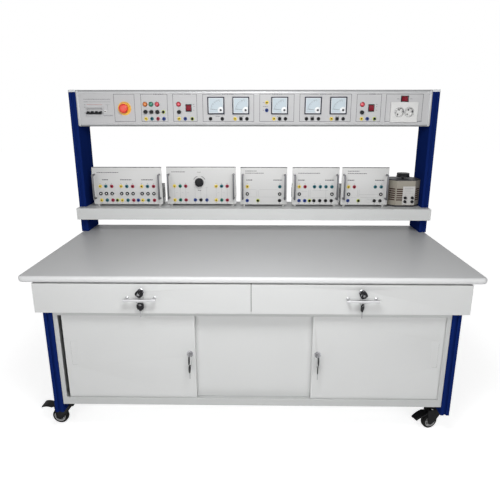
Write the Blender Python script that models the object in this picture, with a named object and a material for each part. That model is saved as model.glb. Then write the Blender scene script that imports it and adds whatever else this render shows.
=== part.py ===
"""Electrician training workbench on castors, with drawers, sliding doors and a power console.

Metres, +Z up, front towards -Y. The origin lies on the floor, midway between the worktop's
ends, and midway between its back edge and the keys that stand out in front.
"""

import math

import bmesh
import bpy
from mathutils import Matrix, Vector

for old in list(bpy.data.objects):
    bpy.data.objects.remove(old)

# Fits shared by all pieces
GAP = 0.0003
SINK = 0.001
OVERRUN = 0.003
SHEET = 0.003
BOARD = 0.016
ROUND_SIDES = 12

# Extruded profile of the legs and posts
PROFILE_WIDTH = 0.032
PROFILE_DEPTH = 0.140
PROFILE_SLOT_WIDTH = 0.008
PROFILE_SLOT_DEPTH = 0.005
POST_CAP_HEIGHT = 0.010
POST_HEIGHT = 0.630

# Training modules and transformer that fill the shelf between the posts
LARGE_MODULE_WIDTH = 0.318
SMALL_MODULE_WIDTH = 0.2125
TRANSFORMER_WIDTH = 0.1435
SHELF_LEFT_MARGIN = 0.0345
SHELF_RIGHT_MARGIN = 0.0025
SHELF_GAPS = (0.0195, 0.020, 0.023, 0.0105, 0.009)
SHELF_ROW_WIDTHS = (
    LARGE_MODULE_WIDTH,
    LARGE_MODULE_WIDTH,
    SMALL_MODULE_WIDTH,
    SMALL_MODULE_WIDTH,
    SMALL_MODULE_WIDTH,
    TRANSFORMER_WIDTH,
)
POST_SPAN = SHELF_LEFT_MARGIN + sum(SHELF_ROW_WIDTHS) + sum(SHELF_GAPS) + SHELF_RIGHT_MARGIN

# Key in a cam lock
LOCK_RADIUS = 0.009
LOCK_PLAY = 0.0004
LOCK_SIDES = 24
LOCK_DEPTH = 0.010
LOCK_PROUD = 0.003
KEY_STEM_WIDTH = 0.008
KEY_STEM_LENGTH = 0.008
KEY_BOW_LENGTH = 0.022
KEY_BOW_WIDTH = 0.026
KEY_BOW_THICKNESS = 0.0035
KEY_REACH = LOCK_PROUD + KEY_STEM_LENGTH + KEY_BOW_LENGTH
DRAWER_LOCK_DROP = 0.033
DRAWER_KEY_TURNS = (math.radians(38), math.radians(-30))
DOOR_LOCK_INSET = 0.020

# Worktop, as wide as the posts that stand flush with its ends
DRAWER_SETBACK = 0.005
WORKTOP_WIDTH = POST_SPAN + 2 * PROFILE_WIDTH
WORKTOP_DEPTH = 0.750
WORKTOP_BACK_Y = (WORKTOP_DEPTH + KEY_REACH - DRAWER_SETBACK) / 2
WORKTOP_FRONT_Y = WORKTOP_BACK_Y - WORKTOP_DEPTH
WORKTOP_MIDDLE_Y = (WORKTOP_FRONT_Y + WORKTOP_BACK_Y) / 2
WORKTOP_THICKNESS = 0.023
WORKTOP_CORNER_RADIUS = 0.020
WORKTOP_EDGE_RADIUS = 0.009

# Heights, stacked from the floor
CASTOR_HEIGHT = 0.0955
LEG_LENGTH = 0.4115
HOUSING_HEIGHT = 0.112
LEG_FOOT_Z = CASTOR_HEIGHT
HOUSING_Z = LEG_FOOT_Z + LEG_LENGTH
HOUSING_TOP_Z = HOUSING_Z + HOUSING_HEIGHT
WORKTOP_TOP_Z = HOUSING_TOP_Z + WORKTOP_THICKNESS

# Drawer housing and drawers
HOUSING_SIDE_INSET = 0.0472
HOUSING_HALF = WORKTOP_WIDTH / 2 - HOUSING_SIDE_INSET
DRAWER_FRONT_THICKNESS = 0.018
DRAWER_MIDDLE_GAP = 0.002
DRAWER_TOP_GAP = 0.004
DRAWER_TRAY_DEPTH = 0.500
DRAWER_TRAY_HEIGHT = 0.080
DRAWER_SIDE_ROOM = 0.0127
RUNNER_HEIGHT = 0.010
RUNNER_LENGTH = 0.450
DRAWER_FACE_Y = WORKTOP_FRONT_Y + DRAWER_SETBACK
HOUSING_FRONT_Y = DRAWER_FACE_Y + DRAWER_FRONT_THICKNESS + GAP
HOUSING_BACK_Y = 2 * WORKTOP_MIDDLE_Y - HOUSING_FRONT_Y

# Bar handle of a drawer
HANDLE_LENGTH = 0.112
HANDLE_PITCH = 0.096
HANDLE_BAR = 0.008
HANDLE_STANDOFF = 0.026
HANDLE_X = 0.379
HANDLE_DROP = 0.0545

# Legs
LEG_SIDE_INSET = 0.0198
LEG_SETBACK = 0.020
LEG_OUTER_X = HOUSING_HALF - LEG_SIDE_INSET
LEG_INNER_X = LEG_OUTER_X - PROFILE_WIDTH
LEG_FRONT_Y = WORKTOP_FRONT_Y + LEG_SETBACK
LEG_PITCH = 2 * (WORKTOP_MIDDLE_Y - LEG_FRONT_Y) - PROFILE_DEPTH

# Castors
CASTOR_PLATE_WIDTH = 0.070
CASTOR_PLATE_DEPTH = 0.060
WHEEL_RADIUS = 0.031
WHEEL_WIDTH = 0.022
WHEEL_BORE_RADIUS = 0.0045
WHEEL_HUB_RADIUS = 0.012
WHEEL_RIM_RADIUS = 0.022
WHEEL_SIDES = 28
AXLE_RADIUS = WHEEL_BORE_RADIUS - GAP
CASTOR_TRAIL = 0.032
FORK_WALL = 0.0025
FORK_SIDE_ROOM = 0.001
FORK_CROWN_RADIUS = 0.019
FORK_CROWN_HEIGHT = 0.010
FORK_ROOF = 0.003
PEDAL_LENGTH = 0.056
PEDAL_WIDTH = 0.034
PEDAL_THICKNESS = 0.006
PEDAL_HUB_RADIUS = 0.005
PEDAL_RAISED = math.radians(15)
PEDAL_PRESSED = math.radians(-12)
CASTOR_ANGLES = {
    "front_left": math.radians(176),
    "front_right": math.radians(196),
    "rear_left": math.radians(75),
    "rear_right": math.radians(118),
}

# Cabinet with two sliding doors in front of a fixed middle panel
CABINET_LIFT = 0.033
STILE_WIDTH = 0.016
SILL_HEIGHT = 0.0295
TRACK_HEIGHT = 0.0215
TRACK_LIP = 0.004
TOP_TRACK_HEIGHT = 0.012
TOP_LIP_DROP = 0.006
CABINET_SETBACK = 0.003
DOOR_SLACK = 0.003
PANEL_SLACK = 0.004
DOOR_OVERLAP = 0.034
LEFT_DOOR_AJAR = 0.018
PULL_LENGTH = 0.105
PULL_WIDTH = 0.026
PULL_DEPTH = 0.008
PULL_INSET = 0.0215
CABINET_HALF = LEG_INNER_X - GAP
CABINET_Z = LEG_FOOT_Z + CABINET_LIFT
CABINET_TOP_Z = HOUSING_Z - GAP
CABINET_FRONT_Y = LEG_FRONT_Y + CABINET_SETBACK
CABINET_BACK_Y = 2 * WORKTOP_MIDDLE_Y - CABINET_FRONT_Y
TRACK_TOP_Z = CABINET_Z + TRACK_HEIGHT
DOOR_FRONT_Y = CABINET_FRONT_Y + TRACK_LIP + DOOR_SLACK
DOOR_BACK_Y = DOOR_FRONT_Y + BOARD
PANEL_FRONT_Y = DOOR_BACK_Y + PANEL_SLACK
PANEL_BACK_Y = PANEL_FRONT_Y + BOARD
TRACK_BACK_Y = PANEL_BACK_Y + TRACK_LIP
OPENING_HALF = CABINET_HALF - STILE_WIDTH
DOOR_HIDDEN = STILE_WIDTH / 2
PANEL_HALF = 0.236
DOOR_WIDTH = OPENING_HALF + DOOR_HIDDEN - PANEL_HALF + DOOR_OVERLAP / 2
DOOR_Z = TRACK_TOP_Z + GAP
DOOR_TOP_Z = CABINET_TOP_Z - TOP_TRACK_HEIGHT - GAP
LOCK_HEIGHT = 0.337
PULL_HEIGHT = 0.338

# Posts, shelf and console
POST_Z = WORKTOP_TOP_Z + GAP
POST_TOP_Z = WORKTOP_TOP_Z + POST_HEIGHT
POST_BACK_Y = WORKTOP_BACK_Y
POST_FRONT_Y = POST_BACK_Y - PROFILE_DEPTH
POST_INNER_X = POST_SPAN / 2
SHELF_HEIGHT = 0.052
SHELF_RISE = 0.117
SHELF_OVERHANG = 0.040
SHELF_TOP_Z = WORKTOP_TOP_Z + SHELF_RISE
SHELF_FRONT_Y = POST_FRONT_Y - SHELF_OVERHANG
SHELF_BACK_Y = POST_BACK_Y - SHEET

CONSOLE_HEIGHT = 0.154
CONSOLE_DEPTH = 0.130
CONSOLE_PROUD = 0.003
CONSOLE_EDGE_RADIUS = 0.012
CONSOLE_RAIL = 0.013
CONSOLE_END = 0.012
CONSOLE_HALF = POST_INNER_X - GAP
CONSOLE_Z = POST_TOP_Z - CONSOLE_HEIGHT
CONSOLE_FRONT_Y = POST_FRONT_Y - CONSOLE_PROUD
CONSOLE_BACK_Y = CONSOLE_FRONT_Y + CONSOLE_DEPTH
FACE_RECESS = 0.0015
FACE_Y = CONSOLE_FRONT_Y + FACE_RECESS
FACE_THICKNESS = 0.003
FACE_HALF = CONSOLE_HALF - CONSOLE_END - GAP
FACE_Z = CONSOLE_Z + CONSOLE_RAIL + GAP
FACE_TOP_Z = POST_TOP_Z - CONSOLE_RAIL - GAP

# Round fittings on the console and the modules
JACK_PITCH = 0.0262
JACK_RADIUS = 0.0065
JACK_PROUD = 0.003
FUSE_RADIUS = 0.0075
FUSE_PROUD = 0.006
LAMP_RADIUS = 0.009
LAMP_PROUD = 0.005
FITTING_SIDES = 10

# Rows on the console, above its underside
CONSOLE_JACK_ROW = 0.0332
CONSOLE_FUSE_ROW = 0.0625
CONSOLE_LAMP_ROW = 0.0945
METER_ROW = 0.0885
BREAKER_ROW = 0.0665
ESTOP_ROW = 0.0765
ROCKER_ROW = 0.0785
OUTLET_ROW = 0.061
OUTLET_ROCKER_ROW = 0.116

# First fitting of each group on the console, as a share of the console's width
CONSOLE_JACK_SHARES = {
    "three_phase": (-0.3044, 4),
    "single_phase": (-0.2099, 2),
    "single_phase_earth": (-0.1728, 1),
    "meter_one": (-0.1210, 1),
    "meter_one_second": (-0.0876, 1),
    "meter_two": (-0.0514, 3),
    "meter_three": (0.0587, 3),
    "meter_four": (0.1508, 3),
    "meter_five": (0.2211, 3),
    "supply": (0.3060, 2),
    "supply_earth": (0.3424, 1),
}
CONSOLE_FUSE_SHARES = {
    "three_phase": (-0.3042, 4),
    "single_phase": (-0.2092, 1),
    "meter_three": (0.0385, 1),
    "supply": (0.3060, 1),
}
CONSOLE_LAMP_SHARES = {
    "three_phase": (-0.3048, 3),
    "single_phase": (-0.2101, 1),
    "meter_three": (0.0385, 1),
    "supply": (0.3060, 1),
}
METER_SHARES = (-0.1047, -0.0346, 0.0745, 0.1682, 0.2391)
BREAKER_SHARE = -0.4495
ESTOP_SHARE = -0.3640
ROCKER_SHARES = (-0.1822, 0.3318)
OUTLET_SHARE = 0.4235

# Instruments and switches on the console
METER_SIZE = 0.0725
METER_PROUD = 0.008
METER_BORDER = 0.004
METER_WINDOW_DEPTH = 0.002
BREAKER_WIDTH = 0.074
BREAKER_HEIGHT = 0.045
BREAKER_PROUD = 0.004
BREAKER_SLOT_HEIGHT = 0.026
BREAKER_SLOT_DEPTH = 0.009
BREAKER_POLES = 4
LEVER_AXLE_RADIUS = 0.0055
LEVER_REACH = 0.019
LEVER_WIDTH = 0.010
LEVER_THICKNESS = 0.005
LEVER_BAR = 0.005
LEVER_REST = math.radians(40)
ESTOP_DISC_RADIUS = 0.0290
ESTOP_DISC_PROUD = 0.002
ESTOP_CAP_RADIUS = 0.020
ESTOP_CAP_HEIGHT = 0.013
ESTOP_STEM_RADIUS = 0.011
ESTOP_STEM_LENGTH = 0.012
ESTOP_TRAVEL = 0.005
ROCKER_BEZEL_WIDTH = 0.026
ROCKER_BEZEL_HEIGHT = 0.031
WIDE_ROCKER_BEZEL_WIDTH = 0.033
WIDE_ROCKER_BEZEL_HEIGHT = 0.026
ROCKER_BEZEL_PROUD = 0.002
ROCKER_BORDER = 0.003
ROCKER_POCKET = 0.004
ROCKER_RISE = 0.003
ROCKER_TILT = math.radians(8)
OUTLET_PLATE_WIDTH = 0.116
OUTLET_PLATE_HEIGHT = 0.084
OUTLET_PLATE_PROUD = 0.008
OUTLET_PITCH = 0.0410
OUTLET_WELL_RADIUS = 0.0192
OUTLET_WELL_DEPTH = 0.016
OUTLET_BOX_MARGIN = 0.003

# Module case, panel and bow handles
MODULE_HEIGHT = 0.171
MODULE_PANEL = 0.003
MODULE_FOOT = 0.010
MODULE_FOOT_RADIUS = 0.008
MODULE_CASE_HEIGHT = 0.085
MODULE_CASE_DEPTH = 0.088
MODULE_CASE_INSET = 0.004
MODULE_SETBACK = 0.052
SECOND_MODULE_SETBACK = 0.062
BOW_LENGTH = 0.116
BOW_STANDOFF = 0.030
BOW_BAR = 0.007
BOW_INSET = 0.0105
BOW_LIFT = 0.029
MODULE_JACK_ROW = 0.0187
MODULE_RING_ROW = 0.0494
MODULE_TOP_ROW = 0.0827
SELECTOR_ROW = 0.1005
SELECTOR_SHARE = -0.0277
SELECTOR_RADIUS = 0.020
SELECTOR_HEIGHT = 0.016
SELECTOR_SHAFT_RADIUS = 0.004
SELECTOR_SHAFT_LENGTH = 0.006

# First jack of each group on a module's front, as a share of its width, and how many follow
LARGE_GROUP_SHARES = ((-0.393, 3), (-0.092, 3), (0.206, 3))
THREE_OUTPUT_ROWS = {
    MODULE_TOP_ROW: LARGE_GROUP_SHARES,
    MODULE_RING_ROW: LARGE_GROUP_SHARES,
    MODULE_JACK_ROW: LARGE_GROUP_SHARES + ((-0.161, 1), (0.141, 1)),
}
SELECTOR_ROWS = {
    MODULE_TOP_ROW: ((-0.3915, 3), (0.2097, 3)),
    MODULE_JACK_ROW: ((-0.3915, 3), (-0.096, 3), (0.2097, 3)),
}
SINGLE_ROWS = {
    MODULE_TOP_ROW: ((-0.352, 1), (0.346, 1)),
    MODULE_RING_ROW: ((-0.352, 1), (0.346, 1)),
    MODULE_JACK_ROW: ((-0.352, 1), (-0.124, 1), (0.346, 1)),
}
MULTI_TAP_ROWS = {
    MODULE_TOP_ROW: ((-0.347, 2), (-0.021, 4)),
    MODULE_RING_ROW: ((-0.347, 1), (0.350, 1)),
    MODULE_JACK_ROW: ((-0.347, 2), (-0.120, 1), (-0.021, 4)),
}
DOUBLE_ROWS = {
    MODULE_TOP_ROW: ((-0.343, 2), (0.225, 2)),
    MODULE_RING_ROW: ((-0.343, 1), (0.350, 1)),
    MODULE_JACK_ROW: ((-0.343, 1), (-0.121, 1), (0.225, 2)),
}

# Variable transformer
TRANSFORMER_DEPTH = 0.118
TRANSFORMER_HEIGHT = 0.124
TRANSFORMER_CORNER = 0.030
TRANSFORMER_SETBACK = 0.052
TRANSFORMER_BASE = 0.008
TRANSFORMER_BASE_INSET = 0.004
TRANSFORMER_KNOB_RADIUS = 0.030
TRANSFORMER_KNOB_HEIGHT = 0.018
TRANSFORMER_SHAFT_RADIUS = 0.005
TRANSFORMER_SHAFT_LENGTH = 0.006
TERMINAL_RADIUS = 0.006
TERMINAL_PROUD = 0.008
TERMINAL_LOW = 0.025
TERMINAL_PITCH = 0.0175
TERMINAL_SPACING = 0.032
TERMINAL_OFFSET = 0.01675


def finish(name, colour, roughness, metallic=0.0):
    """A painted, plastic or metal surface."""
    surface = bpy.data.materials.new(name)
    surface.use_nodes = True
    shader = surface.node_tree.nodes["Principled BSDF"]
    shader.inputs["Base Color"].default_value = (*colour, 1.0)
    shader.inputs["Roughness"].default_value = roughness
    shader.inputs["Metallic"].default_value = metallic
    return surface


LAMINATE = finish("laminate_grey", (0.50, 0.51, 0.52), 0.45)
GREY_PAINT = finish("grey_paint", (0.62, 0.63, 0.62), 0.40)
DOOR_PAINT = finish("door_paint", (0.66, 0.67, 0.66), 0.35)
BLUE_PAINT = finish("blue_powder_coat", (0.015, 0.035, 0.26), 0.35)
SILVER_PAINT = finish("silver_paint", (0.55, 0.56, 0.57), 0.35, 0.3)
PANEL_PAINT = finish("panel_grey", (0.62, 0.62, 0.62), 0.45)
BLACK_PLASTIC = finish("black_plastic", (0.02, 0.02, 0.02), 0.40)
BLACK_STEEL = finish("black_steel", (0.025, 0.025, 0.028), 0.45, 0.4)
WHEEL_RUBBER = finish("wheel_rubber", (0.05, 0.05, 0.05), 0.65)
BRIGHT_METAL = finish("bright_metal", (0.80, 0.80, 0.80), 0.25, 1.0)
RED_PLASTIC = finish("red_plastic", (0.70, 0.04, 0.03), 0.35)
WHITE_PLASTIC = finish("white_plastic", (0.85, 0.85, 0.83), 0.35)
BEIGE_PAINT = finish("beige_paint", (0.42, 0.38, 0.30), 0.45)


def box(shape, low, high):
    """Add a block between two opposite corners."""
    low, high = Vector(low), Vector(high)
    size = high - low
    middle = Matrix.Translation((low + high) / 2)
    bmesh.ops.create_cube(shape, size=1, matrix=middle @ Matrix.Diagonal((*size, 1)))


def rod(shape, start, end, radius, sides=ROUND_SIDES, end_radius=None):
    """Add a round bar or cone from one point to another."""
    start, end = Vector(start), Vector(end)
    along = end - start
    turn = along.to_track_quat("Z", "Y").to_matrix().to_4x4()
    bmesh.ops.create_cone(
        shape,
        cap_ends=True,
        segments=sides,
        radius1=radius,
        radius2=radius if end_radius is None else end_radius,
        depth=along.length,
        matrix=Matrix.Translation((start + end) / 2) @ turn,
    )


AXIS_PLANES = {
    "X": lambda u, v, along: (along, u, v),
    "Y": lambda u, v, along: (u, along, v),
    "Z": lambda u, v, along: (u, v, along),
}


def prism(shape, outline, axis, low, high):
    """Extrude an outline, given in the two other axes in order, from low to high."""
    place = AXIS_PLANES[axis]
    corners = [shape.verts.new(place(u, v, low)) for u, v in outline]
    face = shape.faces.new(corners)
    grown = bmesh.ops.extrude_face_region(shape, geom=[face])
    moved = [part for part in grown["geom"] if isinstance(part, bmesh.types.BMVert)]
    step = Vector(place(0, 0, high)) - Vector(place(0, 0, low))
    bmesh.ops.translate(shape, verts=moved, vec=step)
    bmesh.ops.recalc_face_normals(shape, faces=shape.faces)


def turned(shape, outline, centre, direction, sides, ring=False):
    """Spin an outline of (radius, height) points about an axis through the centre."""
    corners = [shape.verts.new((radius, 0, height)) for radius, height in outline]
    edges = [shape.edges.new(pair) for pair in zip(corners, corners[1:])]
    if ring:
        edges.append(shape.edges.new((corners[-1], corners[0])))
    bmesh.ops.spin(
        shape,
        geom=corners + edges,
        cent=(0, 0, 0),
        axis=(0, 0, 1),
        angle=2 * math.pi,
        steps=sides,
        use_merge=True,
    )
    bmesh.ops.remove_doubles(shape, verts=shape.verts, dist=GAP / 100)
    bmesh.ops.recalc_face_normals(shape, faces=shape.faces)
    turn = Vector(direction).to_track_quat("Z", "Y").to_matrix().to_4x4()
    bmesh.ops.transform(shape, matrix=Matrix.Translation(centre) @ turn, verts=shape.verts)


def piece(name, shape, surface, place=(0, 0, 0), turn=0.0, smooth=False):
    """Make a named object from a shape; its origin is the given place."""
    mesh = bpy.data.meshes.new(name)
    shape.to_mesh(mesh)
    shape.free()
    mesh.materials.append(surface)
    if smooth:
        mesh.shade_smooth()
        mesh.set_sharp_from_angle(angle=math.radians(35))
    thing = bpy.data.objects.new(name, mesh)
    thing.location = place
    thing.rotation_euler = (0, 0, turn)
    bpy.context.collection.objects.link(thing)
    return thing


def operate(thing, shape, operation):
    """Join a shape to a piece, or cut it out; the shape is in the piece's own coordinates."""
    mesh = bpy.data.meshes.new(thing.name + "_tool")
    shape.to_mesh(mesh)
    shape.free()
    tool = bpy.data.objects.new(thing.name + "_tool", mesh)
    tool.parent = thing
    tool.hide_render = True
    tool.display_type = "WIRE"
    bpy.context.collection.objects.link(tool)
    step = thing.modifiers.new(operation.lower(), "BOOLEAN")
    step.operation = operation
    step.object = tool


def fuse(thing, shape):
    operate(thing, shape, "UNION")


def cut(thing, shape):
    operate(thing, shape, "DIFFERENCE")


def make_worktop():
    shape = bmesh.new()
    half = WORKTOP_WIDTH / 2
    box(shape, (-half, WORKTOP_FRONT_Y, HOUSING_TOP_Z), (half, WORKTOP_BACK_Y, WORKTOP_TOP_Z))
    upright = [edge for edge in shape.edges if abs(edge.verts[0].co.z - edge.verts[1].co.z) > GAP]
    bmesh.ops.bevel(
        shape, geom=upright, offset=WORKTOP_CORNER_RADIUS, segments=4, profile=0.5,
        affect="EDGES", material=-1,
    )
    rims = [edge for edge in shape.edges if abs(edge.calc_face_angle() - math.pi / 2) < 0.1]
    rims = [edge for edge in rims if abs(edge.verts[0].co.z - edge.verts[1].co.z) < GAP]
    bmesh.ops.bevel(
        shape, geom=rims, offset=WORKTOP_EDGE_RADIUS, segments=3, profile=0.5,
        affect="EDGES", material=-1,
    )
    piece("worktop", shape, LAMINATE, smooth=True)


def profile_outline(x_low, x_high, y_low, y_high):
    """Outline of the extruded profile, with a slot along its front and back faces."""
    middle = (x_low + x_high) / 2
    left, right = middle - PROFILE_SLOT_WIDTH / 2, middle + PROFILE_SLOT_WIDTH / 2
    front, back = y_low + PROFILE_SLOT_DEPTH, y_high - PROFILE_SLOT_DEPTH
    return [
        (x_low, y_low), (left, y_low), (left, front), (right, front), (right, y_low),
        (x_high, y_low), (x_high, y_high), (right, y_high), (right, back), (left, back),
        (left, y_high), (x_low, y_high),
    ]


def castor_centre(side, end):
    x = side * (LEG_INNER_X + LEG_OUTER_X) / 2
    y = WORKTOP_MIDDLE_Y + end * LEG_PITCH / 2
    return x, y


def make_leg(name, side, end):
    shape = bmesh.new()
    x_low, x_high = sorted((side * LEG_INNER_X, side * LEG_OUTER_X))
    x, y = castor_centre(side, end)
    outline = profile_outline(x_low, x_high, y - PROFILE_DEPTH / 2, y + PROFILE_DEPTH / 2)
    prism(shape, outline, "Z", LEG_FOOT_Z, HOUSING_Z - GAP)
    leg = piece(name, shape, BLUE_PAINT)
    plate = bmesh.new()
    half_width, half_depth = CASTOR_PLATE_WIDTH / 2, CASTOR_PLATE_DEPTH / 2
    box(
        plate,
        (x - half_width, y - half_depth, LEG_FOOT_Z - SHEET),
        (x + half_width, y + half_depth, LEG_FOOT_Z + GAP),
    )
    fuse(leg, plate)


def make_fork(name, x, y, turn):
    """Swivel fork; in its own coordinates the wheel trails towards +X."""
    inner = WHEEL_WIDTH / 2 + FORK_SIDE_ROOM
    outer = inner + FORK_WALL
    top = LEG_FOOT_Z - SHEET - GAP
    crown_z = top - FORK_CROWN_HEIGHT
    roof_z = crown_z - FORK_ROOF
    axle = Vector((CASTOR_TRAIL, 0, WHEEL_RADIUS))
    shape = bmesh.new()
    side_view = [
        (-FORK_CROWN_RADIUS, crown_z), (-FORK_CROWN_RADIUS, roof_z - FORK_ROOF),
        (CASTOR_TRAIL - WHEEL_HUB_RADIUS, WHEEL_RADIUS - WHEEL_HUB_RADIUS / 2),
        (CASTOR_TRAIL, WHEEL_RADIUS - WHEEL_HUB_RADIUS),
        (CASTOR_TRAIL + WHEEL_HUB_RADIUS, WHEEL_RADIUS - WHEEL_HUB_RADIUS / 2),
        (pedal_pivot().x + PEDAL_HUB_RADIUS, pedal_pivot().z - PEDAL_HUB_RADIUS),
        (pedal_pivot().x + PEDAL_HUB_RADIUS, crown_z),
    ]
    prism(shape, side_view, "Y", -outer, outer)
    fork = piece(name, shape, BLACK_STEEL, (x, y, 0), turn)
    crown = bmesh.new()
    rod(crown, (0, 0, crown_z - SINK), (0, 0, top), FORK_CROWN_RADIUS, 16)
    fuse(fork, crown)
    slot = bmesh.new()
    box(slot, (-FORK_CROWN_RADIUS - OVERRUN, -inner, 0), (pedal_pivot().x + PEDAL_LENGTH, inner, roof_z))
    cut(fork, slot)
    pin = bmesh.new()
    rod(pin, axle - Vector((0, outer, 0)), axle + Vector((0, outer, 0)), AXLE_RADIUS, ROUND_SIDES)
    fuse(fork, pin)


def pedal_pivot():
    """Pivot of the brake pedal in the fork's coordinates, just behind and above the tyre."""
    reach = CASTOR_TRAIL + WHEEL_HUB_RADIUS
    return Vector((reach, 0, LEG_FOOT_Z - SHEET - FORK_CROWN_HEIGHT - FORK_ROOF - PEDAL_HUB_RADIUS - SINK))


def make_wheel(name, x, y, turn):
    half = WHEEL_WIDTH / 2
    shape = bmesh.new()
    outline = [
        (WHEEL_BORE_RADIUS, -half), (WHEEL_HUB_RADIUS, -half),
        (WHEEL_HUB_RADIUS, -half + 2 * SINK), (WHEEL_RIM_RADIUS, -half + 2 * SINK),
        (WHEEL_RIM_RADIUS, -half + SINK), (WHEEL_RADIUS - 2 * SINK, -half + SINK),
        (WHEEL_RADIUS, -half + 4 * SINK), (WHEEL_RADIUS, half - 4 * SINK),
        (WHEEL_RADIUS - 2 * SINK, half - SINK), (WHEEL_RIM_RADIUS, half - SINK),
        (WHEEL_RIM_RADIUS, half - 2 * SINK), (WHEEL_HUB_RADIUS, half - 2 * SINK),
        (WHEEL_HUB_RADIUS, half), (WHEEL_BORE_RADIUS, half),
    ]
    turned(shape, outline, (0, 0, 0), (0, 1, 0), WHEEL_SIDES, ring=True)
    across = Matrix.Rotation(turn, 4, "Z")
    centre = Vector((x, y, WHEEL_RADIUS)) + across @ Vector((CASTOR_TRAIL, 0, 0))
    piece(name, shape, WHEEL_RUBBER, centre, turn, smooth=True)


def make_pedal(name, x, y, turn, lift):
    """Brake pedal; its hub lies between the fork's walls, and its tread stands out behind."""
    inner = WHEEL_WIDTH / 2 + FORK_SIDE_ROOM - GAP
    shape = bmesh.new()
    rod(shape, (0, -inner, 0), (0, inner, 0), PEDAL_HUB_RADIUS)
    bmesh.ops.recalc_face_normals(shape, faces=shape.faces)
    pivot = pedal_pivot()
    across = Matrix.Rotation(turn, 4, "Z")
    pedal = piece(name, shape, BLACK_PLASTIC, Vector((x, y, 0)) + across @ pivot, turn)
    neck = PEDAL_HUB_RADIUS + 2 * SINK
    tread = bmesh.new()
    plan = [
        (0, -inner + SINK), (neck, -inner + SINK), (2 * neck, -PEDAL_WIDTH / 2),
        (PEDAL_LENGTH, -PEDAL_WIDTH / 2), (PEDAL_LENGTH, PEDAL_WIDTH / 2),
        (2 * neck, PEDAL_WIDTH / 2), (neck, inner - SINK), (0, inner - SINK),
    ]
    prism(tread, plan, "Z", -PEDAL_THICKNESS / 2, PEDAL_THICKNESS / 2)
    bmesh.ops.rotate(tread, verts=tread.verts, cent=(0, 0, 0), matrix=Matrix.Rotation(-lift, 3, "Y"))
    fuse(pedal, tread)


def make_castors():
    for name, turn in CASTOR_ANGLES.items():
        end = -1 if name.startswith("front") else 1
        side = -1 if name.endswith("left") else 1
        make_leg("leg_" + name, side, end)
        x, y = castor_centre(side, end)
        make_fork("castor_fork_" + name, x, y, turn)
        make_wheel("castor_wheel_" + name, x, y, turn)
    for name, lift in (("front_left", PEDAL_RAISED), ("front_right", PEDAL_PRESSED)):
        side = -1 if name.endswith("left") else 1
        x, y = castor_centre(side, -1)
        make_pedal("brake_pedal_" + name, x, y, CASTOR_ANGLES[name], lift)


def make_drawer_housing():
    shape = bmesh.new()
    box(
        shape,
        (-HOUSING_HALF, HOUSING_FRONT_Y, HOUSING_Z),
        (HOUSING_HALF, HOUSING_BACK_Y, HOUSING_TOP_Z - GAP),
    )
    housing = piece("drawer_housing", shape, GREY_PAINT)
    bays = bmesh.new()
    for side in (-1, 1):
        x_low, x_high = sorted((side * SHEET / 2, side * (HOUSING_HALF - SHEET)))
        box(
            bays,
            (x_low, HOUSING_FRONT_Y - OVERRUN, HOUSING_Z + SHEET),
            (x_high, HOUSING_BACK_Y - SHEET, HOUSING_TOP_Z + OVERRUN),
        )
    cut(housing, bays)
    runners = bmesh.new()
    runner_top = tray_rim_z() - GAP
    for side in (-1, 1):
        for wall, inward in ((side * SHEET / 2, side), (side * (HOUSING_HALF - SHEET), -side)):
            x_low, x_high = sorted((wall - inward * SINK, wall + inward * (DRAWER_SIDE_ROOM - SHEET)))
            box(
                runners,
                (x_low, HOUSING_FRONT_Y + SHEET, runner_top - RUNNER_HEIGHT),
                (x_high, HOUSING_FRONT_Y + SHEET + RUNNER_LENGTH, runner_top),
            )
    fuse(housing, runners)


def tray_floor_z():
    return HOUSING_Z + 2 * SHEET


def tray_rim_z():
    """Underside of the rim that slides along the runners."""
    return tray_floor_z() + DRAWER_TRAY_HEIGHT - SHEET


def make_drawer(name, side):
    inner, outer = DRAWER_MIDDLE_GAP / 2, HOUSING_HALF
    shape = bmesh.new()
    x_low, x_high = sorted((side * inner, side * outer))
    box(
        shape,
        (x_low, DRAWER_FACE_Y, HOUSING_Z),
        (x_high, DRAWER_FACE_Y + DRAWER_FRONT_THICKNESS, HOUSING_TOP_Z - DRAWER_TOP_GAP),
    )
    drawer = piece(name, shape, DOOR_PAINT)
    tray_inner = SHEET / 2 + DRAWER_SIDE_ROOM
    tray_outer = HOUSING_HALF - SHEET - DRAWER_SIDE_ROOM
    tray_low, tray_high = sorted((side * tray_inner, side * tray_outer))
    back = DRAWER_FACE_Y + DRAWER_FRONT_THICKNESS + DRAWER_TRAY_DEPTH
    floor, rim = tray_floor_z(), tray_floor_z() + DRAWER_TRAY_HEIGHT
    tray = bmesh.new()
    front = DRAWER_FACE_Y + DRAWER_FRONT_THICKNESS - SINK
    lip = DRAWER_SIDE_ROOM - SHEET
    section = [
        (tray_low, floor), (tray_high, floor), (tray_high, rim - SHEET), (tray_high + lip, rim - SHEET),
        (tray_high + lip, rim), (tray_low - lip, rim), (tray_low - lip, rim - SHEET),
        (tray_low, rim - SHEET),
    ]
    prism(tray, section, "Y", front, back)
    fuse(drawer, tray)
    hollow = bmesh.new()
    box(
        hollow,
        (tray_low + SHEET, DRAWER_FACE_Y + DRAWER_FRONT_THICKNESS + GAP, floor + SHEET),
        (tray_high - SHEET, back - SHEET, rim + OVERRUN),
    )
    cut(drawer, hollow)
    bore = bmesh.new()
    lock = Vector((side * HANDLE_X, DRAWER_FACE_Y, HOUSING_TOP_Z - DRAWER_LOCK_DROP))
    bore_end = lock + Vector((0, LOCK_DEPTH, 0))
    rod(bore, lock - Vector((0, OVERRUN, 0)), bore_end, LOCK_RADIUS + LOCK_PLAY, LOCK_SIDES)
    cut(drawer, bore)
    make_key("key_" + name, lock, DRAWER_KEY_TURNS[0 if side < 0 else 1])
    make_drawer_handle("handle_" + name, side * HANDLE_X)


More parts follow.
